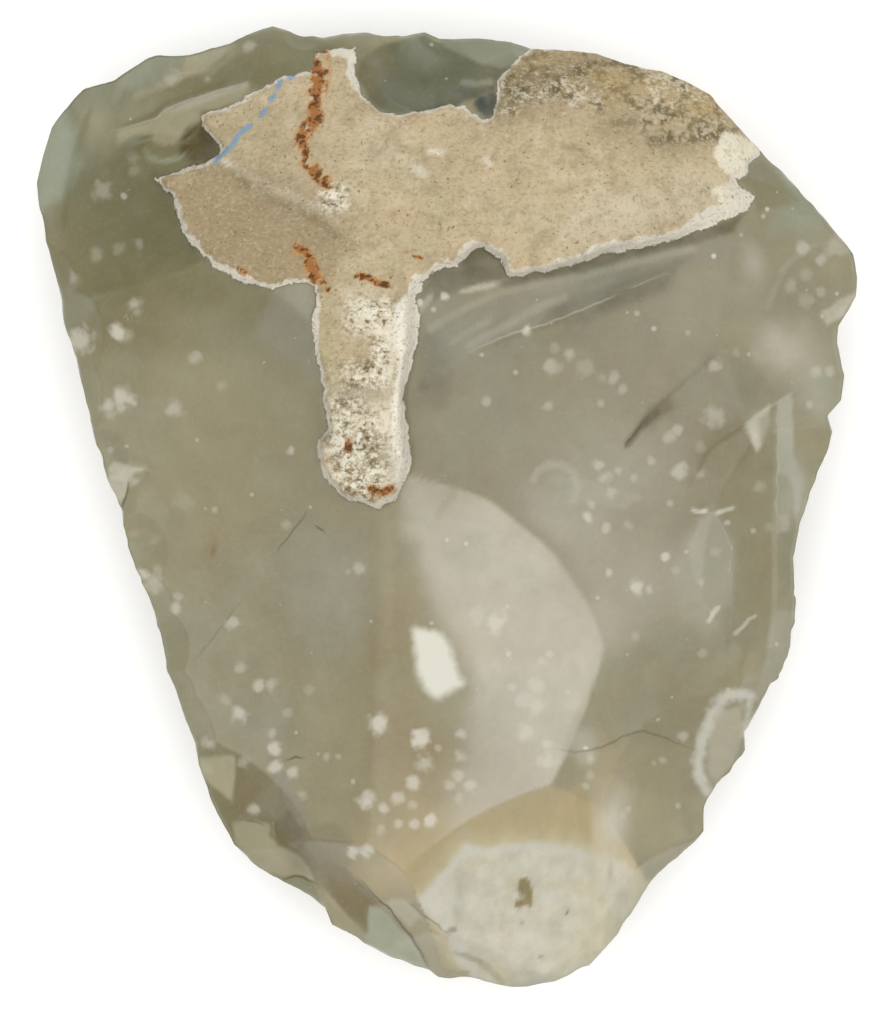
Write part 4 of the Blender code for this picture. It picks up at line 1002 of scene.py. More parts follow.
# the cortex's own clouds, panes and lines
crustClouds = [
    ("crustYellow", (-31.7, 63.8), (12, 7), -25, 0.95),
    # the lower left lobe below the fold: greyer crust, partly painted shade
    ("crustGreyAndShade", (-32.8, 45.5), (13, 9), 0, 0.85),
    ("crustGreyAndShade", (-41.2, 52.2), (7, 5), -40, 0.6),
    # painted shade along the fold
    ("crustDullAndShade", (-21.5, 47.2), (5, 5), -50, 0.4),
    ("crustDullAndShade", (-27, 52.2), (8, 2.2), -25, 0.7),
    ("crustWarm", (18.8, 58), (16, 9), 0, 0.7),
    ("crustWarm", (3.8, 59.7), (10, 7), 0, 0.4),
    ("crustPaleAndHighlight", (-10.7, 59.7), (5, 5), 0, 0.45),
    ("crustPaleAndHighlight", (29.7, 48.8), (14, 4), 15, 0.75),
    ("crustPaleAndHighlight", (42.2, 53), (7, 4), 15, 0.45),
    ("crustYellow", (-2.8, 56), (7, 4), 0, 0.6),
    ("crustDullAndShade", (12.2, 72.2), (5, 5), 30, 0.75),
    ("dirtAndShade", (18, 72), (10, 5), -5, 0.8),
    ("dirtAndShade", (9.7, 67.2), (3, 3.5), 30, 0.7),
    ("dirtAndShade", (40.5, 61.3), (7, 3), -10, 0.15),
    ("ochre", (27.5, 71), (4.5, 1.8), 0, 0.5),
    ("ochre", (35.5, 69.3), (3.5, 2.2), -20, 0.45),
    ("ochre", (42.5, 67), (3.5, 2.5), -35, 0.7),
    ("ochre", (16.3, 74.7), (6, 1.2), 10, 0.45),
    ("ochre", (27.5, 68), (3, 2), 0, 0.35),
    ("dirtAndShade", (27.8, 63), (4.5, 2.5), 10, 0.4),
    ("dirtAndShade", (36.2, 59.7), (5, 1.6), 0, 0.35),
    ("crustPaleAndHighlight", (42.2, 70.5), (6, 2), -30, 0.3),
    ("crustPaleAndHighlight", (36.3, 66.3), (5, 2.5), -10, 0.35),
    ("stemCream", (-12.5, 31.7), (4.6, 3.2), 0, 0.85),
    ("stemBrown", (-10.2, 34.7), (5, 1.5), 0, 0.5),
    ("stemBrown", (-17, 30.5), (1.6, 4), 0, 0.6),
    ("stemCream", (-9.7, 26), (2, 4.5), 0, 0.8),
    ("stemCream", (-12.5, 21.7), (4.5, 1.8), 0, 0.55),
    ("stemBrown", (-14.2, 25.2), (3.4, 2.6), 0, 0.9),
    ("stemGreen", (-20, 27.2), (2, 9), 0, 0.7),
    ("crustDullAndShade", (-15.8, 19), (5.5, 1.8), 0, 0.95),
    ("stemCream", (-16.2, 16), (4, 3), 0, 0.5),
    ("stemCream", (-11.5, 13.8), (4, 4), 0, 0.5),
    ("crustDullAndShade", (-18.7, 10.7), (2.2, 3.4), 0, 0.85),
    ("stemCream", (-18.2, 9.3), (1.2, 1.2), 0, 0.9),
    ("stemWhite", (-14.7, 8.8), (1.1, 3.4), 0, 0.6),
    ("stemWhite", (-7.5, 9.7), (2.6, 9), 0, 1),
    # painted shadow in the hollows between the stem's crumbs
    ("stemHollowShadow", (-11.8, 7), (1.1, 3.2), 10, 0.75),
    ("stemHollowShadow", (-15.5, 6.3), (1, 2.6), -30, 0.45),
    ("stemHollowShadow", (-13.5, 1.8), (4, 1), -10, 0.55),
    ("stemHollowShadow", (-16.8, 7.5), (1.5, 2), 0, 0.6),
    ("stemHollowShadow", (-9.2, 6), (1.2, 2.6), 0, 0.5),
    ("stemHollowShadow", (-12.8, 11.7), (2.6, 1), 0, 0.6),
    ("stemHollowShadow", (-14.8, 4.7), (2.2, 1.1), 20, 0.6),
    ("stemHollowShadow", (-15.8, 17.7), (3.6, 0.9), 5, 0.4),
    ("stemHollowShadow", (-16.8, 16.7), (1.6, 1), 0, 0.5),
    ("stemCream", (-11.2, 5), (3.4, 1.6), 0, 0.6),
    ("rustCrumb", (-11.3, 2.8), (3.2, 1.5), -8, 0.95),
    ("crustWarm", (-17, 4.7), (2, 3), 40, 0.5),
    ("stemWhite", (-18.7, 50.5), (2.2, 2), 0, 0.35),
]
crustPanes = [
    # the lower left lobe below the fold, greyer and partly darkened as painted shade
    ("crustGreyAndShade", 0.7, 2.2, [(-49.5, 54.7), (-38, 57), (-32.8, 54), (-27, 51.3), (-21.5, 48.7),
        (-18.5, 44.7), (-18.8, 36), (-32.8, 34.7), (-44.5, 46.3)]),
    ("stemWhite", 0.95, 0.9, [(-8.5, 33.3), (-6.5, 35.3), (-4.3, 35), (-3.8, 29.3), (-5.2, 23.3),
        (-6.8, 18), (-6.2, 12), (-6.8, 11.3), (-8.8, 12), (-9.2, 17.7), (-8, 22.7), (-8.7, 28)]),
    ("stemCream", 0.92, 0.4, [(44.2, 58.7), (44.8, 60.5), (46.2, 62.8), (48.5, 62), (53.2, 60), (51.7, 58),
        (50.2, 57.2), (49.8, 55.8), (49.2, 54.7), (47.5, 54.5), (45.3, 56.7)]),
    ("stemCream", 0.8, 0.6, [(43.7, 53), (46.3, 54), (48.8, 53.7), (51.7, 51.8), (50.2, 49), (45.8, 47.7),
        (44.8, 50.5)]),
    ("stemWhite", 0.8, 0.5, [(-17.5, 76), (-15, 76.5), (-14.8, 71.7), (-16.2, 72), (-16.5, 74.7)]),
]
crustStrokes = [
    # along the fold: pale strokes are a painted highlight on its crest, darker strokes painted shadow just
    # below it
    ("crustPaleAndHighlight", 0.5, 0.6, [(-32, 53), (-26.2, 50.7), (-22.5, 49)]),
    ("crustGreyAndShade", 0.25, 0.8, [(-24.5, 47.7), (-20.3, 47), (-17.5, 47.7)]),
    ("crustPaleAndHighlight", 0.55, 0.5, [(-37.5, 57.7), (-32.8, 54.8), (-27, 52.2), (-21.8, 49.8), (-18.2, 47)]),
    ("dirtAndShade", 0.3, 0.6, [(-29.8, 51.3), (-25.8, 49.5), (-21.5, 47.3), (-17.3, 43.7)]),
    ("dirtAndShade", 0.12, 0.6, [(-17, 48.8), (-15.8, 46)]),
    ("crustPaleAndHighlight", 0.8, 0.45, [(20.5, 67), (22.5, 68)]),
    ("crustPaleAndHighlight", 0.7, 0.45, [(20.8, 54.2), (22.8, 54.7)]),
    ("crustPaleAndHighlight", 0.6, 0.5, [(13.5, 47.7), (14.8, 48)]),
    ("crustPaleAndHighlight", 0.7, 0.5, [(20.8, 47.7), (23.8, 48.7), (27.2, 49.7), (29.8, 49.7)]),
    ("dirtAndShade", 0.5, 0.5, [(27.5, 63.7), (30.8, 64)]),
    ("dirtAndShade", 0.45, 0.45, [(19.3, 59.7), (22.2, 59.3)]),
    ("stemWhite", 0.6, 0.5, [(-2.8, 58.8), (-1.2, 58.7)]),
    ("stemWhite", 0.4, 0.7, [(-5.3, 56), (-3.7, 55.3)]),
    ("stemWhite", 0.45, 0.6, [(6.5, 57.5), (7, 57)]),
    ("stemWhite", 0.5, 0.35, [(-41.3, 57.3), (-37.8, 57.5), (-35.8, 56.7)]),
]
dirtLine = [
    (8, 64.3), (8.2, 69.7), (11, 74), (16.3, 77), (25.5, 76.7), (34.2, 74.7), (42.2, 71.3), (47.2, 66.3),
    (47.8, 62.7), (44.8, 62), (41.2, 61.3), (36.2, 61), (32.2, 63.7), (28.5, 66), (23, 67.3),
    (16.3, 68.3), (12.5, 66),
]
# the pale pinkish part of the centre scar, partly its own tone and partly a painted sheen
blushAndSheenLine = [
    (-7.2, 6.3), (-7, 1.3), (-6.2, -3.7), (-4.7, -9.5), (-2.8, -15.3), (0, -19.5), (3.2, -24.5),
    (4.8, -30), (4.2, -34), (3.2, -39.5), (0.8, -47), (-2.8, -57), (12.2, -60.3), (35.5, -42),
    (35.5, 4.7),
]

# the chalky tip's own
chalkClouds = [
    ("chalkWhite", (-1.2, -65.3), (3, 3.4), 0, 0.9),
    ("chalkWhite", (5.5, -66.2), (4, 5), 0, 0.4),
    ("chalkWhite", (12.2, -73.7), (9, 3.5), 0, 0.4),
    ("chalkBlue", (17.5, -65), (1.9, 1.5), 0, 0.8),
    ("chalkBlue", (12.2, -69.5), (1.6, 1.4), 0, 0.6),
    ("chalkBlue", (13.8, -60), (8, 2), 0, 0.5),
    ("chalkWarm", (27.5, -59), (3, 3), 5, 0.7),
    ("chalkWhite", (28.8, -59), (3, 4), 30, 0.5),
    ("chalkWhite", (29, -57), (2.2, 3.4), -10, 0.6),
    ("chalkWarm", (32.2, -62.8), (2.6, 3.4), 0, 0.5),
    ("chalkWarm", (25.5, -71.2), (6, 5), 40, 0.4),
    ("chalkGrey", (2.2, -63.7), (0.9, 2.6), 0, 0.7),
    ("chalkGrey", (1.5, -67.3), (0.8, 1.6), 0, 0.7),
    ("chalkGrey", (24.2, -55.7), (1.7, 1.4), 0, 0.7),
    ("chalkGrey", (27.2, -60.7), (0.45, 1.5), 0, 0.9),
    ("chalkGrey", (14.2, -79.5), (4, 1), 8, 0.8),
    ("chalkWarm", (8.8, -77.3), (4, 1.6), -35, 0.5),
]
chalkPanes = [
    ("pitBrown", 0.95, 0.3, [(11.8, -62), (13, -61.3), (14, -63), (14.2, -66.5), (13.2, -66.2),
        (11.8, -66.8), (11, -66.5), (11.7, -64.2)]),
]
chalkStrokes = [
    ("chalkWhite", 0.8, 0.5, [(11.8, -64.5), (12, -64.8)]),
    ("umber", 0.45, 0.35, [(0.3, -70.3), (1.2, -70)]),
    ("amber", 0.7, 0.4, [(-0.2, -71.3), (-0.3, -72.5)]),
    ("pitBlue", 0.35, 0.4, [(1.3, -74), (3.2, -74.7), (5.5, -75.5)]),
    ("pitBrown", 0.45, 0.45, [(5.5, -75.7), (7.5, -77.3), (9.3, -79.3)]),
    ("umber", 0.7, 0.3, [(20, -67.3), (20, -67.5)]),
    ("toffee", 0.6, 0.5, [(23.2, -55.3), (24, -55), (24.8, -56.3)]),
    ("umber", 0.35, 0.35, [(12.3, -69), (12.5, -69.2)]),
    ("umber", 0.35, 0.35, [(15.5, -74.8), (15.7, -74.8)]),
]


def layOver(base, tone, amount):
    return base + (toneColour[tone] - base) * np.reshape(amount, (-1, 1))


def layTones(base, layers):
    for tone, amount in layers:
        base = layOver(base, tone, amount)
    return base


def layCoats(base, clouds, panes, strokes):
    # lays soft clouds, then clear-edged panes, then lines over a coat of colour
    for tone, (cx, cy), (halfX, halfY), turn, strength in clouds:
        turned = math.radians(turn)
        u = (x - cx) * math.cos(turned) + (y - cy) * math.sin(turned)
        v = (y - cy) * math.cos(turned) - (x - cx) * math.sin(turned)
        base = layOver(base, tone, strength * np.exp(-(u / halfX) ** 2 - (v / halfY) ** 2))
    for tone, strength, soft, outline in panes:
        deep = insideDistance(x, y, outline) + wobble
        base = layOver(base, tone, strength * easeIn(-soft / 2, soft / 2, deep))
    for tone, strength, half, points in strokes:
        away = lineDistance(x, y, points)[0] + wobble
        base = layOver(base, tone, strength * easeIn(half * 1.8, half * 0.4, away))
    return base


def scarShares(side):
    # how far each place belongs to the untouched blank and to each scar
    skins = []
    faceHeight(x, y, side, skins)
    pile = side * np.array(skins)
    pull = np.exp(-np.clip(pile - pile.min(axis=0), 0, 4) / 0.06)
    return pull / pull.sum(axis=0)


def scarTint(shares, scars):
    names = ["body"] + [scar[4] for scar in scars.values()]
    return sum(shares[i][:, None] * toneColour[name] for i, name in enumerate(names))


onFront = (side >= 0).astype(float)
wobble = cloud("wobble", x, y)
lumps = cloud("lumps", x, y)
curds = cloud("curds", x, y)
crumbs = cloud("crumbs", x, y)

shares = scarShares(1)
ofCentre = shares[1 + list(frontScars).index("centre")]
ofTip = shares[1 + list(frontScars).index("tip")]
blushAndSheenDeep = insideDistance(x, y, blushAndSheenLine) + 0.8 * lumps
# the centre scar: paler and pinkish, partly its own tone and partly a painted sheen
tint = layTones(scarTint(shares, frontScars), [
    ("blushAndSheen", ofCentre * easeIn(-3.2, 2.6, blushAndSheenDeep)),
    ("roseAndSheen", 0.9 * ofCentre * mound((23, -22), (5, 12))),
])
tint = layCoats(tint, clouds, panes, strokes)

# the chalky tip: honey stone pales towards it, then a bluish lip, then cream with soft veins
chalkDeep = chalkDeep + 0.25 * curds
tint = layOver(tint, "chalkWarm", 0.75 * ofTip * easeIn(-4.0, 0.4, chalkDeep))
chalky = easeIn(-0.9, 0.7, chalkDeep)
chalkCoat = layTones(np.tile(toneColour["chalk"], (len(x), 1)), [
    ("chalkWarm", 0.45 * easeIn(-0.1, 0.5, lumps)),
    ("chalkWhite", 0.45 * easeIn(0.05, 0.5, curds)),
    ("chalkGrey", 0.3 * easeIn(0.1, 0.5, -curds)),
    ("chalkBlue", 0.8 * easeIn(2.0, 0.9, chalkDeep) * easeIn(27, 22, x)),
])
chalkCoat = layCoats(chalkCoat, chalkClouds, chalkPanes, chalkStrokes)
tint = tint + (chalkCoat - tint) * chalky[:, None]

# soft mottling, and thin edges that let light through and look paler
drift = cloud("drift", x, y)
thinGlow = 0.25 * np.exp(-np.clip(frontZ - backZ, 0, None) / 4)
tint = layTones(tint, [
    ("mist", 0.18 * easeIn(0.02, 0.45, drift) * (1 - chalky)),
    ("tan", 0.13 * easeIn(0.02, 0.45, -drift) * (1 - chalky)),
])
tint = tint * (1 + 0.045 * lumps + 0.045 * curds + 0.03 * crumbs)[:, None]
tint = layOver(tint, "mist", thinGlow)

backTint = layTones(scarTint(scarShares(-1), backScars), [
    ("shade", 0.5 * easeIn(-0.2, 0.6, lumps)),
    ("ash", 0.35 * easeIn(0.1, 0.6, -lumps)),
])
backTint = backTint * (1 + 0.04 * curds + 0.02 * crumbs)[:, None]
backTint = layOver(backTint, "mist", thinGlow)
tint = tint * onFront[:, None] + backTint * (1 - onFront)[:, None]

# the cortex: tan crust, mottled, dirty along the top right, crumbly on the stem with painted shadow in its
# hollows, and painted shade along its fold
crustTint = np.tile(toneColour["crustTan"], (len(x), 1))
crustTint = layOver(crustTint, "crustWarm", easeIn(-0.25, 0.35, lumps))
crustTint = layCoats(crustTint, crustClouds, [], [])
paleDrift = easeIn(-0.1, 0.35, cloud("paleDrift", x, y * 1.6))
dirty = easeIn(-1.6, 1.2, insideDistance(x, y, dirtLine) + 2.0 * curds) * onFront
crustTint = layTones(crustTint, [
    ("crustPaleAndHighlight", 0.5 * easeIn(0.1, 0.5, curds) * paleDrift),
    ("crustGreyAndShade", 0.35 * easeIn(0.08, 0.5, -curds)),
    ("dirtAndShade", 0.85 * dirty * easeIn(-0.02, 0.3, curds + 0.5 * crumbs)),
    ("dirtDark", 0.55 * dirty * easeIn(0.12, 0.45, curds + 0.6 * crumbs)),
    ("dirtGrain", 0.5 * dirty * easeIn(0.12, 0.4, -crumbs)),
])
ochreClouds = [coat for coat in crustClouds if coat[0] == "ochre"]
crustTint = layCoats(crustTint, ochreClouds, crustPanes, crustStrokes)
# painted shade along the fold in the cortex
creaseShade = easeIn(1.6, 0.1, lineDistance(x, y, creaseLine)[0] + 0.5 * curds)
crustTint = layOver(crustTint, "dirtAndShade", 0.3 * creaseShade)
crustTint = crustTint * (1 + 0.05 * curds + 0.05 * crumbs)[:, None]
rindDeep = cortexDeep - rindWide * (1 + 0.8 * curds) + 0.25 * crumbs


def addAttribute(name, values, kind="FLOAT"):
    attribute = mesh.attributes.new(name, kind, "POINT")
    if kind == "FLOAT_COLOR":
        values = np.concatenate([values, np.ones((len(values), 1))], axis=1)
    field = {"FLOAT": "value", "FLOAT_VECTOR": "vector", "FLOAT_COLOR": "color"}[kind]
    attribute.data.foreach_set(field, np.ascontiguousarray(np.ravel(values), np.float32))


def addLines(name, lines):
    # signed distance to the nearest of several lines, and how far it may be trusted
    nearest = np.full(len(x), 2.0)
    trust = np.zeros(len(x))
    for strength, points in lines:
        away, hand, along = lineDistance(x + 0.35 * curds, y + 0.5 * wobble, points)
        total = lineLength(points)
        nearest = np.where(away < np.abs(nearest), away * hand, nearest)
        ends = easeIn(-0.4, 0.25 * total, along) * easeIn(total + 0.4, 0.75 * total, along)
        trust = np.maximum(trust, strength * easeIn(1.6, 0.8, away) * (0.35 + 0.65 * ends))
    addAttribute(name + "Side", nearest)
    addAttribute(name + "Trust", trust * onFront)


def dabs(lines, half):
    # how deep each place is inside round-ended dabs along the lines
    deep = np.full(len(x), -2.0)
    for points in lines:
        deep = np.maximum(deep, half - lineDistance(x, y, points)[0])
    return np.where(onFront > 0, deep, -2.0)


addAttribute("stoneTint", tint, "FLOAT_COLOR")
addAttribute("crustTint", crustTint, "FLOAT_COLOR")
cortexField = np.clip(np.where(onFront > 0, cortexDeep, skinDeep), -9, 9)
inclusionDeep = insideDistance(x, y, inclusionLine) + 0.4 * wobble
addAttribute("cortexDeep", cortexField)
addAttribute("rindDeep", np.where(onFront > 0, np.clip(rindDeep, -9, 9), 9))
addAttribute("chalky", chalky * onFront)
addAttribute("inclusionDeep", np.where(onFront > 0, np.clip(inclusionDeep, -9, 9), -9))
addAttribute("ringDeep", np.maximum(dabs([ringLine], 0.8), dabs([ringTail], 0.4)))
addAttribute("crumbly", np.clip(knobs + 0.4 * dirty * easeIn(-0.1, 0.3, lumps), 0, 1) * onFront)
addAttribute("gritty", (0.5 + 0.3 * dirty) * onFront)
addAttribute("blueDeep", dabs(blueDabs, 0.5))
addLines("crack", cracks)
addLines("bright", highlightLines)

rust = np.zeros(len(x))
for half, points in rustLines:
    away = lineDistance(x, y, points)[0] + 1.5 * wobble
    rust = np.maximum(rust, easeIn(half * 1.9, half * 0.2, away))
addAttribute("rust", rust * easeIn(-0.5, -0.05, cloud("rustGaps", x, y)) * onFront)

# each place's offset from its nearest mark, flecks and painted glints alike, in that mark's radii, so that
# it is drawn round;
# marks that crowd each other go on different layers
fleckAndGlintLayers = [[], [], [], []]
for fleck in flecksAndGlints:
    roomy = [
        layer for layer in fleckAndGlintLayers
        if all(math.dist(fleck[0], other[0]) > 1.8 * (fleck[1] + other[1]) + 1.2 for other in layer)
    ]
    (roomy or fleckAndGlintLayers[-1:])[0].append(fleck)
for number, layer in enumerate(fleckAndGlintLayers):
    fleckAndGlintSpot = np.full((len(x), 3), 9.0)
    fleckAndGlintShow = np.zeros(len(x))
    for (cx, cy), size, strength in layer:
        offset = np.stack([(x - cx) / size, (y - cy) / size, x * 0], axis=1)
        far = np.linalg.norm(offset, axis=1)
        nearer = far < np.linalg.norm(fleckAndGlintSpot, axis=1)
        fleckAndGlintSpot[nearer] = offset[nearer]
        fleckAndGlintShow = np.where(nearer, strength * (far < 1.9), fleckAndGlintShow)
    addAttribute(f"fleckAndGlintSpot{number}", fleckAndGlintSpot, "FLOAT_VECTOR")
    addAttribute(f"fleckAndGlintShow{number}", fleckAndGlintShow * onFront)
print("tones and marks laid on")


def addNode(tree, kind, inputs, **settings):
    # a node with its settings; inputs fill its sockets by name or in order, with values or links
    node = tree.nodes.new("ShaderNode" + kind)
    node.location = (len(tree.nodes) // 8 * 190, len(tree.nodes) % 8 * -260)
    for name, value in settings.items():
        setattr(node, name, value)
    sockets = [socket for socket in node.inputs if socket.enabled]
    byName = {socket.name: socket for socket in sockets}
    for key, value in (inputs.items() if isinstance(inputs, dict) else enumerate(inputs)):
        socket = byName[key] if isinstance(key, str) else sockets[key]
        if isinstance(value, bpy.types.NodeSocket):
            tree.links.new(value, socket)
        else:
            socket.default_value = hexColour(value) if isinstance(value, str) else value
    return [socket for socket in node.outputs if socket.enabled]


flint = {
    "roughness": 0.38,
    "ior": 1.54,  # chalcedony
    "sheen": 0.38,  # specular level: a waxy skin
    "glow": 0.1,  # share of light that goes under the skin
    "glowDepth": 1.5 * mm,
    "glowReach": (1.0, 0.85, 0.6),
    "grainSize": 0.7,  # mm
    "curdleSize": 1.7,
    "milkSize": 2.5,
    "milk": "#A9A495",
    "grainLight": "#A29C8C",
    "grainDark": "#4F492E",
    "fleckAndGlintWhite": "#B1AD9F",
    "inclusionWhite": "#B7B6A8",
    "ringWhite": "#AAA89C",
    "crack": "#3C381A",
    # painted highlight along step edges
    "highlightWhite": "#AAA89A",
    "relief": 0.03,  # mm
}
cortex = {
    "roughness": 0.93,
    "chalkRoughness": 0.7,
    "sandSize": 0.62,
    "crumbSize": 1.5,
    "speckSize": 0.75,
    "grainLight": "#BEB59C",
    "grainDark": "#756548",
    "warmGrain": "#A2855A",
    "speck": "#42351B",
    "crumbLight": "#D7D2C1",
    # painted shade in the gaps between crumbs
    "crumbGapShade": "#5A4C2E",
    "rindWhite": "#C7C1B2",
    "rustHalo": "#AC7C44",
    "rust": "#8C5623",
    "rustDark": "#4A2B04",
    "blue": "#5686AB",
    "relief": 0.42,  # mm
}
smooth = {"interpolation_type": "SMOOTHSTEP"}
multiply = {"operation": "MULTIPLY"}
multiplyAdd = {"operation": "MULTIPLY_ADD"}


def layMarks(tree, colour, look, marks):
    # marks laid in turn over a colour: tone, what it is read from, where it starts and is full,
    # its strength, and what fades it
    for tone, source, low, high, strength, *fades in marks:
        mask = addNode(tree, "MapRange", [source, low, high, 0.0, strength], **smooth)[0]
        for fade in fades:
            mask = addNode(tree, "Math", [mask, fade], **multiply)[0]
        colour = addNode(tree, "Mix", [mask, colour, look[tone]], data_type="RGBA")[0]
    return colour


def buildStone(name, withCortex):
    material = bpy.data.materials.new(name)
    material.use_nodes = True
    tree = material.node_tree
    tree.nodes.clear()
    spot = addNode(tree, "TexCoord", {})[3]
    names = ["stoneTint", "inclusionDeep", "ringDeep", "crackSide", "crackTrust"]
    names += ["brightSide", "brightTrust"]
    noises = [("grain", flint, spot, 2.0, 0.6), ("curdle", flint, spot, 1.0, 0.5)]
    if withCortex:
        streaks = addNode(tree, "Mapping", {"Vector": spot, "Scale": (0.85, 1.0, 1.0)})[0]
        names += ["crustTint", "cortexDeep", "rindDeep", "chalky", "crumbly", "gritty", "blueDeep", "rust"]
        noises += [
            ("sand", cortex, streaks, 4.0, 0.7), ("crumb", cortex, spot, 3.0, 0.62),
            ("speck", cortex, spot, 2.0, 0.8),
        ]
    fields = {}
    for field in names:
        outputs = addNode(tree, "Attribute", {}, attribute_name=field)
        fields[field] = outputs[0] if "Tint" in field else outputs[2]
    for field, look, source, detail, rough in noises:
        scale = 1 / (look[field + "Size"] * mm)
        inputs = {"Vector": source, "Scale": scale, "Detail": detail, "Roughness": rough}
        fields[field] = addNode(tree, "TexNoise", inputs)[0]
    grain, curdle = fields["grain"], fields["curdle"]

    # the clear flint: faint grain, and small milky specks of many sizes
    seeds = addNode(tree, "TexVoronoi", {"Vector": spot, "Scale": 1 / (flint["milkSize"] * mm)})
    seedSize = addNode(tree, "SeparateColor", [seeds[1]])[0]
    seedSize = addNode(tree, "Math", [seedSize, 10.0], operation="POWER")[0]
    seedSize = addNode(tree, "Math", [seedSize, 0.2, 0.0], **multiplyAdd)[0]
    seedDeep = addNode(tree, "Math", [seedSize, seeds[0]], operation="SUBTRACT")[0]

    # marks with an edge of their own, roughened by the grain
    rough = addNode(tree, "Math", [grain, 0.9, -0.45], **multiplyAdd)[0]
    lumpy = addNode(tree, "Math", [curdle, 0.9, -0.45], **multiplyAdd)[0]
    # the white flecks, and the painted glints among them
    fleckAndGlintMask = 0.0
    for number in range(len(fleckAndGlintLayers)):
        offset = addNode(tree, "Attribute", {}, attribute_name=f"fleckAndGlintSpot{number}")[1]
        show = addNode(tree, "Attribute", {}, attribute_name=f"fleckAndGlintShow{number}")[2]
        far = addNode(tree, "VectorMath", [offset], operation="LENGTH")[0]
        far = addNode(tree, "Math", [curdle, 1.9, far], **multiplyAdd)[0]
        mask = addNode(tree, "MapRange", [far, 2.5, 1.25, 0.0, 0.9], **smooth)[0]
        mask = addNode(tree, "Math", [mask, show], **multiply)[0]
        fleckAndGlintMask = addNode(tree, "Math", [mask, fleckAndGlintMask], operation="MAXIMUM")[0]
    ringEdge = addNode(tree, "Math", [lumpy, 1.6, fields["ringDeep"]], **multiplyAdd)[0]
    inclusionEdge = addNode(tree, "Math", [lumpy, 1.1, fields["inclusionDeep"]], **multiplyAdd)[0]
    crackEdge = addNode(tree, "Math", [rough, 0.35, fields["crackSide"]], **multiplyAdd)[0]
    crackEdge = addNode(tree, "Math", [crackEdge], operation="ABSOLUTE")[0]
    highlightLine = addNode(tree, "Math", [fields["brightSide"]], operation="ABSOLUTE")[0]
    colour = layMarks(tree, fields["stoneTint"], flint, [
        ("milk", seedDeep, -0.02, 0.05, 0.48),
        ("grainLight", grain, 0.5, 0.8, 0.08),
        ("grainDark", grain, 0.5, 0.2, 0.06),
    ])
    colour = addNode(tree, "Mix", [fleckAndGlintMask, colour, flint["fleckAndGlintWhite"]], data_type="RGBA")[0]
    colour = layMarks(tree, colour, flint, [
        ("ringWhite", ringEdge, -0.9, 0.7, 0.8),
        ("inclusionWhite", inclusionEdge, -0.5, 1.6, 1.0),
        # thin painted highlights along step edges
        ("highlightWhite", highlightLine, highlightWidth * 1.6, highlightWidth * 0.4, 0.5, fields["brightTrust"]),
        ("crack", crackEdge, crackWidth * 1.5, crackWidth * 0.4, 0.85, fields["crackTrust"]),
    ])
    relief = addNode(tree, "Math", [grain, flint["relief"] * mm], **multiply)[0]
    roughness = flint["roughness"]

    if withCortex:
        sand, crumb = fields["sand"], fields["crumb"]
        clumps = addNode(tree, "MapRange", [crumb, 0.44, 0.62, 0.12, 1.0], **smooth)[0]
        mixedCrumb = addNode(tree, "Math", [sand, crumb], operation="ADD")[0]
        sandRough = addNode(tree, "Math", [sand, 1.0, -0.5], **multiplyAdd)[0]
        rindEdge = addNode(tree, "Math", [sandRough, 1.6, fields["rindDeep"]], **multiplyAdd)[0]
        blueEdge = addNode(tree, "Math", [sandRough, 1.5, fields["blueDeep"]], **multiplyAdd)[0]
        rustEdge = addNode(tree, "Math", [sand, 1.1, fields["rust"]], **multiplyAdd)[0]
        rustHere = addNode(tree, "MapRange", [fields["rust"], 0.02, 0.2, 0.0, 1.0], **smooth)[0]
        rustHeart = addNode(tree, "MapRange", [fields["rust"], 0.3, 0.75, 0.0, 1.0], **smooth)[0]

        # sandy grain, stronger where it is dirty; crumbs stand on dark gaps painted as shade;
        # rust runs from an orange halo to dark brown grains
        crust = layMarks(tree, fields["crustTint"], cortex, [
            ("warmGrain", crumb, 0.52, 0.66, 0.3),
            ("rindWhite", rindEdge, 0.3, -0.2, 0.92),
            ("grainLight", sand, 0.52, 0.68, 0.8, fields["gritty"]),
            ("grainDark", sand, 0.48, 0.32, 0.9, fields["gritty"]),
            ("speck", fields["speck"], 0.645, 0.7, 0.7, clumps),
            ("crumbLight", mixedCrumb, 0.97, 1.12, 0.9, fields["crumbly"]),
            ("crumbGapShade", mixedCrumb, 0.93, 0.8, 0.85, fields["crumbly"]),
            ("rustHalo", rustEdge, 0.75, 1.1, 0.7, rustHere),
            ("rust", rustEdge, 1.1, 1.5, 0.85, rustHere),
            ("rustDark", mixedCrumb, 1.02, 0.93, 0.9, rustHeart, rustHere),
            ("blue", blueEdge, -0.2, 0.3, 0.72),
        ])

        cortexEdge = addNode(tree, "Math", [sandRough, 1.1, fields["cortexDeep"]], **multiplyAdd)[0]
        cortexMask = addNode(tree, "MapRange", [cortexEdge, -0.1, 0.1, 0.0, 1.0], **smooth)[0]
        colour = addNode(tree, "Mix", [cortexMask, colour, crust], data_type="RGBA")[0]
        roughness = addNode(tree, "Mix", [fields["chalky"], roughness, cortex["chalkRoughness"]])[0]
        roughness = addNode(tree, "Mix", [cortexMask, roughness, cortex["roughness"]])[0]
        crustRelief = addNode(tree, "Math", [sand, cortexMask], **multiply)[0]
        for source, field, gain in ((crumb, "crumbly", 1.6), (sand, "chalky", 0.3)):
            more = addNode(tree, "Math", [source, fields[field]], **multiply)[0]
            crustRelief = addNode(tree, "Math", [more, gain, crustRelief], **multiplyAdd)[0]
        relief = addNode(tree, "Math", [crustRelief, cortex["relief"] * mm, relief], **multiplyAdd)[0]

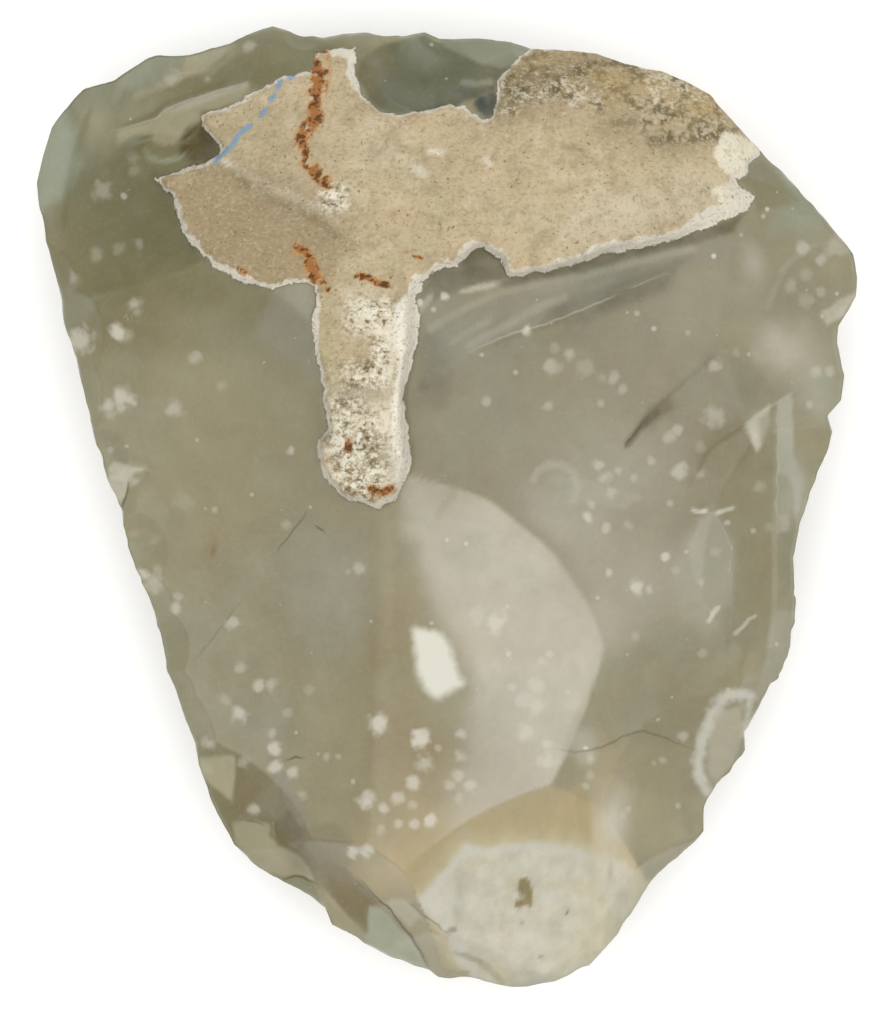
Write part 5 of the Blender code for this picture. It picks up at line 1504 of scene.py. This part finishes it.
    bump = addNode(tree, "Bump", {"Strength": 1.0, "Distance": 1.0, "Height": relief})[0]
    shader = addNode(tree, "BsdfPrincipled", {
        "Base Color": colour, "Roughness": roughness, "Normal": bump, "IOR": flint["ior"],
        "Specular IOR Level": flint["sheen"], "Subsurface Weight": flint["glow"],
        "Subsurface Radius": flint["glowReach"], "Subsurface Scale": flint["glowDepth"]})[0]
    addNode(tree, "OutputMaterial", {"Surface": shader})
    return material


# knapped flint: waxy, slightly see-through grey chalcedony, so it looks soft-lit and deep
mesh.materials.append(buildStone("knappedFlint", False))
# the same flint with its rind: a dry, sandy, chalky crust that takes no gloss
mesh.materials.append(buildStone("flintCortex", True))
crusty = (cortexField > -1.4) | ((chalky > 0) & (onFront > 0))
for polygon in mesh.polygons:
    if any(crusty[index] for index in polygon.vertices):
        polygon.material_index = 1
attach(nodule, "root")
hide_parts("flint_nodule")
print("flint and cortex materials on")


studio = {
    "floorHalf": 4.0,
    "floorColour": "#FCFCFB",
    "skyColour": (1.0, 0.997, 0.99, 1),
    "skyStrength": 0.72,
    "lampPower": 86,
    "lampSize": 4.0,
    "lampPlace": (0.05, -0.05, 2.4),
    "lens": 400,
    "sensor": 36,
    "viewCentre": (-0.333, -0.667, 27),  # mm, at the height of the rim
    "viewHeight": 170.67,  # mm seen from top to bottom at that height
}

floorMesh = bpy.data.meshes.new("floor")
bm = bmesh.new()
bmesh.ops.create_grid(bm, x_segments=1, y_segments=1, size=studio["floorHalf"])
bm.to_mesh(floorMesh)
bm.free()
floor = addObject("floor", floorMesh)
paper = bpy.data.materials.new("mattPaper")  # plain pale paper, no gloss
paper.use_nodes = True
paperShader = paper.node_tree.nodes["Principled BSDF"]
paperShader.inputs["Base Color"].default_value = hexColour(studio["floorColour"])
paperShader.inputs["Roughness"].default_value = 1.0
paperShader.inputs["Specular IOR Level"].default_value = 0.0
floorMesh.materials.append(paper)

world = bpy.data.worlds.new("softStudio")
world.use_nodes = True
sky = world.node_tree.nodes["Background"]
sky.inputs["Color"].default_value = studio["skyColour"]
sky.inputs["Strength"].default_value = studio["skyStrength"]
bpy.context.scene.world = world

lampData = bpy.data.lights.new("softbox", "AREA")
lampData.shape = "SQUARE"
lampData.size = studio["lampSize"]
lampData.energy = studio["lampPower"]
lamp = addObject("softbox", lampData)
lamp.location = studio["lampPlace"]
lamp.rotation_mode = "QUATERNION"
lamp.rotation_quaternion = Vector(studio["lampPlace"]).to_track_quat("Z", "Y")

cameraData = bpy.data.cameras.new("camera")
cameraData.lens = studio["lens"]
cameraData.sensor_width = studio["sensor"]
camera = addObject("camera", cameraData)
distance = studio["viewHeight"] * studio["lens"] / studio["sensor"]
centreX, centreY, level = studio["viewCentre"]
camera.location = (centreX * mm, centreY * mm, (level + distance) * mm)
bpy.context.scene.camera = camera
bpy.context.scene.view_settings.view_transform = "Standard"
print("floor, light and camera set")
